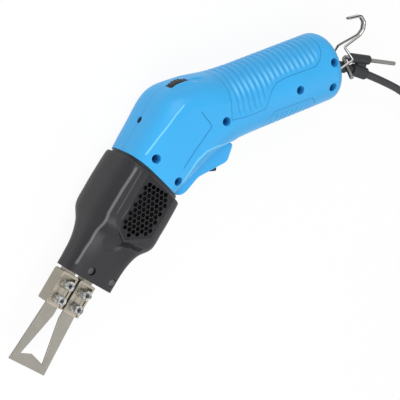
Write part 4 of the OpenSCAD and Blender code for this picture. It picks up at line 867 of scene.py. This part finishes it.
CORD_ROUTE = [
    (168, -12.4, 26), (172, -15, 26), (180, -20.3, 26), (190, -27.5, 25), (200, -35, 23), (211, -43.5, 20),
    (223, -54, 16), (236, -65, 12), (249, -75.5, 8.5), (262, -83.5, 6), (275, -88.7, 4.4), (282, -90, 4),
    (288, -90, 4),
]
COIL_START = np.array([294.0, -90.0])
COIL_R, COIL_PITCH, COIL_IN, COIL_CLIMB, COIL_DIP = 47.5, 6.6, 3.375, 0.5, 1.2
COIL_LOW, COIL_TAIL = 4.0, 28.0
COIL_MIDDLE = COIL_START + [0, COIL_R]
CLIP_FROM, CLIP_TO = np.array([168.0, -12.4]), np.array([180.0, -20.3])
KEY_FROM, KEY_TO = np.array([161.7, -0.2]), np.array([209.4, -21.7])
KEY_OUT, SLEEVE_LEN = 7.0, 19.0
CLIP_R, CLIP_BORE_R, SLEEVE_R, KEY_BORE_R, WEB_REACH, WEB_HALF = 4.8, 3.3, 3.7, 1.79, 9.0, 1.85
BOOT_R, BOOT_TAPER, BOOT_RING, BOOT_FLANGE_R = 5.7, 1.5, 0.7, 7.5
TIE_PLAY, TIE_HALF, TIE_W, TIE_ROUND, TIE_TURN = 0.3, 0.35, 6.0, 3.2, math.radians(60)
NECK_LEN, NECK_R, PLUG_ROOT_R, PLUG_W, PLUG_H, PLUG_LEN = 14.0, 4.8, 6.4, 17.0, 10.0, 50.0
# One arm of the hanging hook, from its foot, and its wire
HOOK_ARM = np.array([
    (0, 0, 7.8), (0, 0, 13), (14.1, 3.3, 13), (14.3, 12.1, 4), (31.6, 15.4, 1.6), (36.3, 18.5, 1.6),
    (38.4, 24, 1.6), (36.1, 29.7, 1.6), (24.5, 31.1, 1.6),
])
WIRE_R, WIRE_SIDES = 1.0, 20


def coil_path(rings):
    """The coil: the radius falls by a pitch a turn on the lower layer, dips while the cord climbs over half a
    turn, and grows by a pitch a turn on the upper layer."""
    turns = 2 * COIL_IN + COIL_CLIMB
    n = np.linspace(0, turns, int(turns * rings))
    share = np.clip((n - COIL_IN) / COIL_CLIMB, 0, 1)
    inner = COIL_R - COIL_PITCH * COIL_IN
    grown = inner + COIL_PITCH * np.maximum(0, n - COIL_IN - COIL_CLIMB)
    radius = np.where(n < COIL_IN, COIL_R - COIL_PITCH * n, grown)
    radius = radius - COIL_DIP * np.sin(np.pi * share)
    height = COIL_LOW + COIL_PITCH * (1 - np.cos(np.pi * share)) / 2
    angle = 2 * np.pi * n - np.pi / 2
    x, y = COIL_MIDDLE
    return np.stack([x + radius * np.cos(angle), y + radius * np.sin(angle), height], 1)


def cord_path():
    """The whole cord: out of the boot, down to the table, round the coil and on to the plug."""
    end = BOOT_ROOT + BOOT_LEN * BOOT_AHEAD
    out = end + 3 * BOOT_AHEAD
    lead = through([(*end, HALF_W), (*out, HALF_W), *CORD_ROUTE, (*COIL_START, COIL_LOW)], 4)
    coil = coil_path(48)
    tail = coil[-1] + np.linspace(0, COIL_TAIL, 8)[1:, None] * [0, 1, 0]
    return np.concatenate([lead[:-1], coil, tail])


def ribbed_boot(name, ribs):
    """Strain relief: a tube along a line that droops at the wall, its radius a taper with shallow rings."""
    run = np.linspace(-4, BOOT_LEN, 140)
    bend = np.interp(run, [-1.5, 3], [0, 1])
    steps = np.stack([1 + bend * (BOOT_AHEAD[0] - 1), bend * BOOT_AHEAD[1]], 1) * np.gradient(run)[:, None]
    path = np.cumsum(steps, 0)
    path = path - path[np.argmin(np.abs(run))] + BOOT_ROOT
    share = np.clip(run / BOOT_LEN, 0, 1)
    radius = BOOT_R - BOOT_TAPER * share
    ring = (0.5 + 0.5 * np.cos(2 * np.pi * ribs * share)) ** 4
    radius = radius - BOOT_RING * ring * plateau(share, 0.08, 0.2, 0.9, 0.98)
    radius[:3] = BOOT_FLANGE_R
    radius[-3:] -= [0.1, 0.3, 0.7]
    return tube(name, np.column_stack([path, 0 * run]), radius, 40)


def sleeve_profile(length, radius, edge):
    """Half section of a round bar whose ends have a quarter round."""
    turn = np.radians(np.linspace(0, 90, 6))
    start = np.column_stack([edge * (1 - np.cos(turn)), radius - edge + edge * np.sin(turn)])
    return np.concatenate([start, np.column_stack([length - start[::-1, 0], start[::-1, 1]])])


def superellipse_loft(name, stations, sides, lift):
    """A closed body along Y: a station is y, x centre, z centre, half width, half height and squareness."""
    y, x, z, wide, tall, power = np.asarray(stations, float).T[..., None]
    angle = np.linspace(0, 2 * np.pi, sides, endpoint=False)
    c, d = np.cos(angle), np.sin(angle)
    reach = (np.abs(c) ** power + np.abs(d) ** power) ** (-1 / power)
    grid = np.stack([x + wide * reach * c, y + 0 * reach, z + tall * reach * d], 2)
    return closed(name, grid, lift, flip=True)


def rounded_path(points, reach, steps=6):
    """A path whose inner corners are quadratic curves that begin and end the reach away from them."""
    p = np.asarray(points, float)
    a = p[1:-1] + unit(p[:-2] - p[1:-1]) * reach
    c = p[1:-1] + unit(p[2:] - p[1:-1]) * reach
    return np.concatenate([p[:1], corner_curves(a, p[1:-1], c, steps), p[-1:]])


# Settings that a user would change


class HotKnifeLook(bpy.types.PropertyGroup):
    """Sizes and colours of the hot knife's looks."""

    blue: bpy.props.FloatVectorProperty(
        name="Body colour", description="Colour of the moulded body", subtype="COLOR",
        default=paint(58, 170, 232),
    )
    black: bpy.props.FloatVectorProperty(
        name="Nose colour", description="Colour of the nose, trigger and thumb wheel", subtype="COLOR",
        default=paint(35, 35, 38),
    )
    rubber: bpy.props.FloatVectorProperty(
        name="Cord colour", description="Colour of the cord, boot, clip and plug", subtype="COLOR",
        default=paint(34, 35, 38),
    )
    plated: bpy.props.FloatVectorProperty(
        name="Electrode colour", description="Colour of the plated electrodes", subtype="COLOR",
        default=paint(158, 152, 140),
    )
    blade: bpy.props.FloatVectorProperty(
        name="Blade colour", description="Colour of the brushed blade", subtype="COLOR",
        default=paint(142, 139, 132),
    )
    rib_depth: bpy.props.FloatProperty(
        name="Rib depth", description="Depth of the grooves between the grip ribs, in mm",
        default=0.65, min=0, max=1,
    )
    rib_pitch: bpy.props.FloatProperty(
        name="Rib pitch", description="Distance between the grip ribs, in mm", default=4.6, min=3, max=8
    )
    body_rings: bpy.props.IntProperty(
        name="Body rings", description="Rings along the body's skin", default=250, min=80, max=400
    )
    body_steps: bpy.props.IntProperty(
        name="Section steps", description="Steps round half a section", default=112, min=32, max=160
    )
    nose_rings: bpy.props.IntProperty(
        name="Nose rings", description="Rings along the nose's skin", default=130, min=40, max=240
    )
    dish_depth: bpy.props.FloatProperty(
        name="Neck dish", description="Depth of the round dish on the neck, in mm",
        default=0.9, min=0, max=2,
    )
    scoop_depth: bpy.props.FloatProperty(
        name="Thumb scoop", description="Depth of the scoop beside the thumb wheel, in mm",
        default=1.3, min=0, max=2,
    )
    lip_height: bpy.props.FloatProperty(
        name="Wheel lip", description="Height of the lip beside the thumb wheel, in mm",
        default=1.5, min=0, max=2,
    )
    light: bpy.props.FloatProperty(
        name="Lamp power", description="Power of the main lamp", default=8.0, min=0, unit="POWER"
    )


# Camera of the photograph, fitted to the silhouette: a point looked at, two angles, a roll, a distance and a
# lens
LOOK_AT = Vector((16.2, -63.6, 26.0)) * MM
AZIMUTH, ELEVATION, ROLL = (math.radians(a) for a in (-41.7, 54.9, -114.2))
DISTANCE, LENS = 1014.0 * MM, 124.35
FLOOR_HALF, FLOOR_GLOW, SURROUND_LIGHT = 4000.0, 0.93, 0.32


class HOTKNIFE_OT_stage(bpy.types.Operator):
    """Camera, lamps, pale floor and white surroundings"""

    bl_idname = "hotknife.stage"
    bl_label = "Stage"

    def execute(self, context):
        scene = context.scene
        look = scene.hot_knife
        flat = math.cos(ELEVATION)
        away = Vector((flat * math.cos(AZIMUTH), flat * math.sin(AZIMUTH), -math.sin(ELEVATION)))
        level = away.cross(Vector((0, 0, 1))).normalized()
        right = level * math.cos(ROLL) + away.cross(level) * math.sin(ROLL)
        down = away.cross(right)
        camera = bpy.data.objects.new("camera", bpy.data.cameras.new("camera"))
        camera.data.lens, camera.data.sensor_width = LENS, 36.0
        camera.data.clip_start, camera.data.clip_end = 0.01, 100.0
        turn = Matrix((right, -down, -away)).transposed()
        camera.matrix_world = Matrix.Translation(LOOK_AT - away * DISTANCE) @ turn.to_4x4()
        scene.collection.objects.link(camera)
        scene.camera = camera
        scene.view_settings.view_transform = "Standard"
        for name, place, size, power in (
            ("key_lamp", (-0.55, -0.35, 0.95), 0.7, look.light),
            ("fill_lamp", (0.75, -0.75, 0.9), 0.9, look.light * 0.34),
            ("top_lamp", (0.0, 0.95, 0.8), 0.8, look.light * 0.85),
        ):
            lamp = bpy.data.objects.new(name, bpy.data.lights.new(name, "AREA"))
            lamp.data.energy, lamp.data.size = power, size
            lamp.location = place
            lamp.rotation_mode = "QUATERNION"
            lamp.rotation_quaternion = (LOOK_AT - Vector(place)).to_track_quat("-Z", "Y")
            scene.collection.objects.link(lamp)
        self.surround(scene)
        self.floor()
        return {"FINISHED"}

    def surround(self, scene):
        """White where it is seen, and dimmer as a light."""
        world = bpy.data.worlds.new("surround")
        world.use_nodes = True
        scene.world = world
        graph = Graph(world.node_tree)
        back = graph.tree.nodes["Background"]
        back.inputs["Color"].default_value = (1, 1, 1, 1)
        levels = {"Value": graph.direct(), "To Min": SURROUND_LIGHT, "To Max": 1.0}
        graph.plug(back.inputs["Strength"], graph.node("ShaderNodeMapRange", {}, levels))

    def floor(self):
        """A wide pale plane, nearly white where it is seen."""
        outline = box_outline(-FLOOR_HALF, -FLOOR_HALF, FLOOR_HALF, FLOOR_HALF)
        piece = put("floor", [(*corner, 0) for corner in outline], [[0, 1, 2, 3]], lift=0)
        f = Finish("pale_floor", Base_Color=(0.9, 0.9, 0.9), Roughness=0.8)
        glow = f.node("ShaderNodeEmission", {}, {"Strength": 1.0})
        sockets = {0: FLOOR_GLOW * f.direct(), 1: Wire(f, f.shader.outputs[0]), 2: glow}
        blend = f.node("ShaderNodeMixShader", {}, sockets)
        f.plug(f.tree.nodes["Material Output"].inputs["Surface"], blend)
        piece.data.materials.append(f.material)


class HOTKNIFE_OT_cord(bpy.types.Operator):
    """Mains cord with its coil, boot, tie, plug, clip and hex key"""

    bl_idname = "hotknife.cord"
    bl_label = "Cord and fittings"

    def execute(self, context):
        look = context.scene.hot_knife
        sheath = rubber("cord_sheath", look.rubber, 0.5)
        soft = rubber("boot_rubber", shade(look.rubber, 0.9), 0.6)
        path = cord_path()
        cord = tube("cord", path, CORD_D / 2, 18, lift=0)
        wear(cord, sheath, "body", "black_rubber", "supply_cord", "cord_coil")
        crisp(cord, 60)
        boot = wear(ribbed_boot("cord_boot", 7), soft, "body", "black_rubber", "strain_relief")
        crisp(boot, 40)
        tie = wear(self.tie(), soft, "body", "black_rubber", "cord_tie")
        plug = wear(self.plug(path[-1]), soft, "body", "black_plastic", "plug_body")
        clip = wear(self.clip(), soft, "body", "black_rubber", "key_clip")
        chrome = metal("chrome_pins", paint(225, 226, 230), 0.18, clouds=0.05)
        pins = dress("plug_pins", chrome, 0.4)
        key = dress("hex_key", metal("key_steel", paint(138, 137, 134), 0.3, clouds=0.1), 0.15)
        dress("cord_end", sheath)
        return {"FINISHED"}

    def tie(self):
        """A strap: a thin section carried round a rounded oblong that holds both layers of the coil."""
        gap = CORD_D / 2 + TIE_PLAY
        inner = COIL_R - COIL_PITCH * COIL_IN - COIL_DIP - gap - TIE_HALF
        outer = COIL_R + gap + TIE_HALF
        top = COIL_LOW + COIL_PITCH + gap + TIE_HALF
        loop = rounded_outline(box_outline(inner, TIE_HALF, outer, top), TIE_ROUND, 9)
        edge = TIE_W - 0.2
        upper = [(TIE_W, -0.2), (TIE_W, 0.2), (edge, TIE_HALF), (-edge, TIE_HALF)]
        section = np.array([(-TIE_W, -0.2), (-edge, -TIE_HALF), (edge, -TIE_HALF), *upper, (-TIE_W, 0.2)])
        ahead = unit(np.roll(loop, -1, 0) - np.roll(loop, 1, 0))
        out = np.stack([ahead[:, 1], -ahead[:, 0]], 1)
        flat = loop[:, None] + out[:, None] * section[None, :, 1:]
        c, s = math.cos(TIE_TURN), math.sin(TIE_TURN)
        xy = COIL_MIDDLE + flat[..., :1] * np.array([c, s]) + section[None, :, :1] * np.array([-s, c])
        grid = np.concatenate([xy, flat[..., 1:]], 2)
        count = len(section)
        quads = grid_quads(len(loop) + 1, count, wrap=True) % (len(loop) * count)
        return put("tie", grid, quads[:, ::-1], lift=0)

    def plug(self, end):
        """Moulded plug: a neck with rings that swells into a flat rounded body."""
        x, y, z = end
        s = np.linspace(0, 1, 40)
        rings = 0.5 * (0.5 + 0.5 * np.cos(2 * np.pi * 5 * s)) ** 3
        neck = zip(NECK_LEN * s, NECK_R + (PLUG_ROOT_R - NECK_R) * s - rings)
        rows = [(y + a, x, z, r, r, 2.0) for a, r in neck]
        swell = np.linspace(0, 1, 16)[1:]
        out, on = np.sin(swell * np.pi / 2), 9 * (1 - np.cos(swell * np.pi / 2))
        wide, tall = (PLUG_ROOT_R + (half - PLUG_ROOT_R) * out for half in (PLUG_W, PLUG_H))
        rows += [(y + NECK_LEN + a, x, z, w, h, 2.0 + k) for a, w, h, k in zip(on, wide, tall, swell)]
        for a in np.radians(np.linspace(0, 80, 6)):
            back = 1 - np.cos(a)
            rows.append((y + PLUG_LEN - 1 + np.sin(a), x, z, PLUG_W - back, PLUG_H - back, 3.0))
        return crisp(superellipse_loft("plug", rows, 72, 0), 40)

    def clip(self):
        """Rubber clip: two round sleeves with soft ends and a web between them."""
        ahead, key_ahead = unit(CLIP_TO - CLIP_FROM), unit(KEY_TO - KEY_FROM)
        side = np.array([-ahead[1], ahead[0]])
        length = np.linalg.norm(CLIP_TO - CLIP_FROM)
        start, axis = (*CLIP_FROM, 0), (*ahead, 0)
        key_start, key_axis = (*(KEY_FROM + KEY_OUT * key_ahead), 0), (*key_ahead, 0)
        piece = turned("key_clip_rubber", sleeve_profile(length, CLIP_R, 0.9), start, axis, 40)
        sleeve = turned("sleeve", sleeve_profile(SLEEVE_LEN, SLEEVE_R, 0.8), key_start, key_axis, 36)
        combine(piece, sleeve, "UNION")
        corners = box_outline(length * 0.2, 0, length * 0.8, WEB_REACH)
        web = [CLIP_FROM + ahead * a + side * b for a, b in corners]
        combine(piece, prism("web", web, -WEB_HALF, WEB_HALF), "UNION")
        drill(piece, CLIP_BORE_R, start, axis, -CUT_PAST, length + CUT_PAST, 40)
        drill(piece, KEY_BORE_R, key_start, key_axis, -CUT_PAST, SLEEVE_LEN + CUT_PAST, 36)
        return crisp(piece, 35)


class HOTKNIFE_OT_body(bpy.types.Operator):
    """Blue body halves with their grip ribs, hood and screw recesses"""

    bl_idname = "hotknife.body"
    bl_label = "Body"

    def execute(self, context):
        look = context.scene.hot_knife
        # The pale colour paints highlights: the near ridge and hood ridge lines and the gleam on the ribs are
        # painted highlights. The groove tint is painted shade in the rib grooves, and the depth tint is
        # painted shade down the screw recesses.
        pale, deep = paint(132, 214, 252), paint(18, 104, 168)
        blue = moulded_plastic("blue_moulding", look.blue, 0.38, lines=(
            ("grip_edge", 0.3, deep, 0.65), ("seam", 0.3, deep, 0.55), ("panel", 0.35, deep, 0.8),
            ("near_ridge", 0.5, pale, 0.8), ("hood_ridge", 0.8, pale, 0.6),
        ), painted_tints=(
            ("groove", 1.0, shade(look.blue, 0.72), 0.55), ("gleam", 1.0, pale, 0.6),
            ("depth", 5.0, deep, 0.5),
        ))
        for name, side in (("left_housing", 1), ("right_housing", -1)):
            wear(body_half(f"{name}_skin", side, look), blue, "body", "blue_plastic", name)
        dress("housing_screws", metal("zinc_screw", paint(92, 96, 104), 0.4), 0.15)
        return {"FINISHED"}


class HOTKNIFE_OT_nose(bpy.types.Operator):
    """Black nose halves, honeycomb grilles and nose screws"""

    bl_idname = "hotknife.nose"
    bl_label = "Nose"

    def execute(self, context):
        look = context.scene.hot_knife
        # The lines on the nose are painted highlights along its edges: the shoulder, the broad nose ridge,
        # the thin line and the vent rim.
        pale, ridge_highlight = paint(98, 97, 102), paint(132, 131, 134)
        black = moulded_plastic("black_moulding", look.black, 0.45, lines=(
            ("shoulder", 0.4, pale, 0.5), ("nose_ridge", 0.75, ridge_highlight, 0.55), ("thin_line", 0.3, pale, 0.55),
            ("vent_rim", 0.35, pale, 0.5),
        ))
        for name, side in (("nose_left", 1), ("nose_right", -1)):
            wear(nose_half(f"{name}_skin", side, look), black, "body", "black_plastic", name)
        for name, side in (("vent_grille_left", 1), ("vent_grille_right", -1)):
            dress(name, self.grille(name, side, look))
        dark = metal("dark_screw", paint(84, 84, 87), 0.3, clouds=0.3)
        # The bright finish on the bevels of the dark nose screws is a painted highlight.
        dress("nose_screws", dark, 0.2, metal("screw_rim_highlight", paint(190, 190, 190), 0.3))
        return {"FINISHED"}

    def grille(self, name, side, look):
        """Black plastic with painted shade: it goes darker with the depth below the grille's outer face."""
        low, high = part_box(name)
        face = high.z if side > 0 else low.z
        f = Finish(f"{name}_black", Roughness=0.55, Specular_IOR_Level=0.2)
        split = f.node("ShaderNodeSeparateXYZ", {}, {"Vector": f.place}, 2)
        deep = f.step(abs(split - face), 0.0002, 0.0010)
        f.set(Base_Color=f.mix(deep, shade(look.black, 0.9), paint(5, 5, 6)))
        f.set(Normal=f.bump(f.noise(2600, 2), 0.00004))
        return f.material


class HOTKNIFE_OT_electrodes(bpy.types.Operator):
    """Electrodes, clamp plates, clamp screws, blade and insulator"""

    bl_idname = "hotknife.electrodes"
    bl_label = "Electrodes and blade"

    def execute(self, context):
        look = context.scene.hot_knife
        plated = metal("plated_brass", look.plated, 0.38, (40, 2200, 2200), BEND, 0.18)
        # The paler finish on the bevels of the electrodes and plates is a painted highlight along their
        # edges.
        rim = metal("plated_edge_highlight", paint(212, 192, 164), 0.35)
        for node in ("upper_electrode", "lower_electrode"):
            dress(node, plated, 0.5, rim)
        dress("clamp_plates", plated, 0.3, rim)
        cap = Finish("cap_screw", Metallic=0.35)
        cloud = cap.noise(520, 3)
        speck = cap.step(cloud, 0.38, 0.62)
        cap.set(Base_Color=cap.mix(speck, paint(112, 113, 112), paint(186, 187, 184)))
        cap.set(Roughness=0.22 + 0.16 * cloud)
        dress("clamp_screws", cap.material, 0.35)
        dress("blade", metal("brushed_blade", look.blade, 0.34, (60, 2600, 2600), -BEND), 0.12)
        resin = clouded("resin_block", 300, 4, paint(96, 62, 38), paint(122, 84, 54), Roughness=0.7)
        dress("electrode_insulator", resin, 0.3)
        return {"FINISHED"}


class HOTKNIFE_OT_controls(bpy.types.Operator):
    """Trigger, thumb wheel, indicator light and switch"""

    bl_idname = "hotknife.controls"
    bl_label = "Controls"

    def execute(self, context):
        look = context.scene.hot_knife
        black = moulded_plastic("control_black", shade(look.black, 0.7), 0.45)
        dress("trigger", black, 0.8)
        dress("power_dial", black, 0.25)
        gloss = {"Roughness": 0.25, "Specular_IOR_Level": 0.12}
        dress("indicator_led", clouded("dark_lens", 400, 2, paint(4, 2, 3), paint(12, 4, 5), **gloss), 0.5)
        dress("trigger_pin", metal("pin_steel", paint(190, 190, 192), 0.3), 0.2)
        for node, name, colour, rough, edge in (
            ("switch_body", "switch_black", paint(38, 38, 40), 0.55, 0.4),
            ("switch_plunger", "plunger_red", paint(180, 34, 28), 0.4, 0.3),
            ("potentiometer", "pot_green", paint(30, 110, 72), 0.4, 0.3),
        ):
            dress(node, moulded_plastic(name, colour, rough), edge)
        return {"FINISHED"}


class HOTKNIFE_OT_hook(bpy.types.Operator):
    """Wire hanging hook"""

    bl_idname = "hotknife.hook"
    bl_label = "Hanging hook"

    def execute(self, context):
        arms = np.concatenate([HOOK_ARM, HOOK_ARM[::-1] * [1, 1, -1]])
        path = rounded_path(arms, 1.5) + [*HOOK_AT, 0]
        piece = tube("hook_wire", path, WIRE_R, WIRE_SIDES)
        angle = np.linspace(0, 2 * np.pi, WIRE_SIDES, endpoint=False)
        # Stripes round the wire, which the chrome paints dark as painted dark reflections.
        mark(piece, "round", np.tile(np.sin(2 * angle + 0.6), len(path)))
        chrome = metal("chrome_wire", paint(196, 194, 192), 0.16, clouds=0.05, band="round")
        wear(crisp(piece, 60), chrome, "hook", "bright_steel", "hanging_hook")
        return {"FINISHED"}


class HOTKNIFE_OT_works(bpy.types.Operator):
    """Parts inside: transformer, blower, board and cord clamp"""

    bl_idname = "hotknife.works"
    bl_label = "Works inside"

    def execute(self, context):
        # The core and the winding are near black, darker than bare steel and copper: painted shade for the
        # inside of the tool.
        core, _ = striped(
            "core_laminations", 400.0, paint(14, 14, 15), paint(26, 26, 28),
            Roughness=0.7, Specular_IOR_Level=0.15,
        )
        dress("transformer_core", core.material, 0.2)
        wound, turns = striped(
            "enamelled_wire", 260.0, paint(30, 17, 12), paint(58, 34, 22),
            Roughness=0.55, Specular_IOR_Level=0.2,
        )
        wound.set(Normal=wound.bump(turns, 0.0003))
        dress("transformer_winding", wound.material, 0.8)
        copper = metal("copper_bar", paint(112, 70, 48), 0.5, (60, 1800, 1800), BEND)
        for node in ("upper_busbar", "lower_busbar"):
            dress(node, copper, 0.3)
        black = moulded_plastic("fan_black", paint(40, 40, 43), 0.5)
        for node in ("fan_frame", "fan_rotor", "cord_clamp"):
            dress(node, black)
        board = Finish("board_laminate", Roughness=0.45)
        greens = {"Color1": (22, 96, 58), "Color2": (18, 84, 50), "Mortar": (70, 140, 84)}
        sockets = {name: (*paint(*screen), 1) for name, screen in greens.items()}
        sockets.update(Vector=board.place, Scale=240.0)
        board.set(Base_Color=board.node("ShaderNodeTexBrick", {}, sockets))
        dress("control_board", board.material, 0.1)
        dress("capacitor", moulded_plastic("capacitor_sleeve", paint(44, 50, 70), 0.4), 0.5)
        for node, name, colour, rough, edge in (
            ("fan_motor", "motor_can", paint(168, 168, 172), 0.4, 0.6),
            ("heat_sink", "bare_aluminium", paint(205, 207, 210), 0.4, 0.15),
            ("cord_clamp_screws", "clamp_screw_steel", paint(170, 170, 174), 0.35, 0.15),
        ):
            dress(node, metal(name, colour, rough), edge)
        return {"FINISHED"}


class HOTKNIFE_PT_panel(bpy.types.Panel):
    """Lists the steps and settings"""

    bl_idname = "HOTKNIFE_PT_panel"
    bl_label = "Hot knife"
    bl_space_type = "VIEW_3D"
    bl_region_type = "UI"
    bl_category = "Hot knife"

    def draw(self, context):
        look = context.scene.hot_knife
        for name in HotKnifeLook.__annotations__:
            self.layout.prop(look, name)
        for step in STEPS:
            self.layout.operator(step.bl_idname)


STEPS = (
    HOTKNIFE_OT_stage, HOTKNIFE_OT_cord, HOTKNIFE_OT_body, HOTKNIFE_OT_nose, HOTKNIFE_OT_electrodes,
    HOTKNIFE_OT_controls, HOTKNIFE_OT_hook, HOTKNIFE_OT_works,
)
CLASSES = (HotKnifeLook, *STEPS, HOTKNIFE_PT_panel)


def register():
    for cls in CLASSES:
        bpy.utils.register_class(cls)
    bpy.types.Scene.hot_knife = bpy.props.PointerProperty(type=HotKnifeLook)


def unregister():
    del bpy.types.Scene.hot_knife
    for cls in reversed(CLASSES):
        bpy.utils.unregister_class(cls)


def main():
    register()
    for step in STEPS:
        getattr(bpy.ops.hotknife, step.bl_idname.split(".")[1])()


if __name__ == "__main__":
    main()
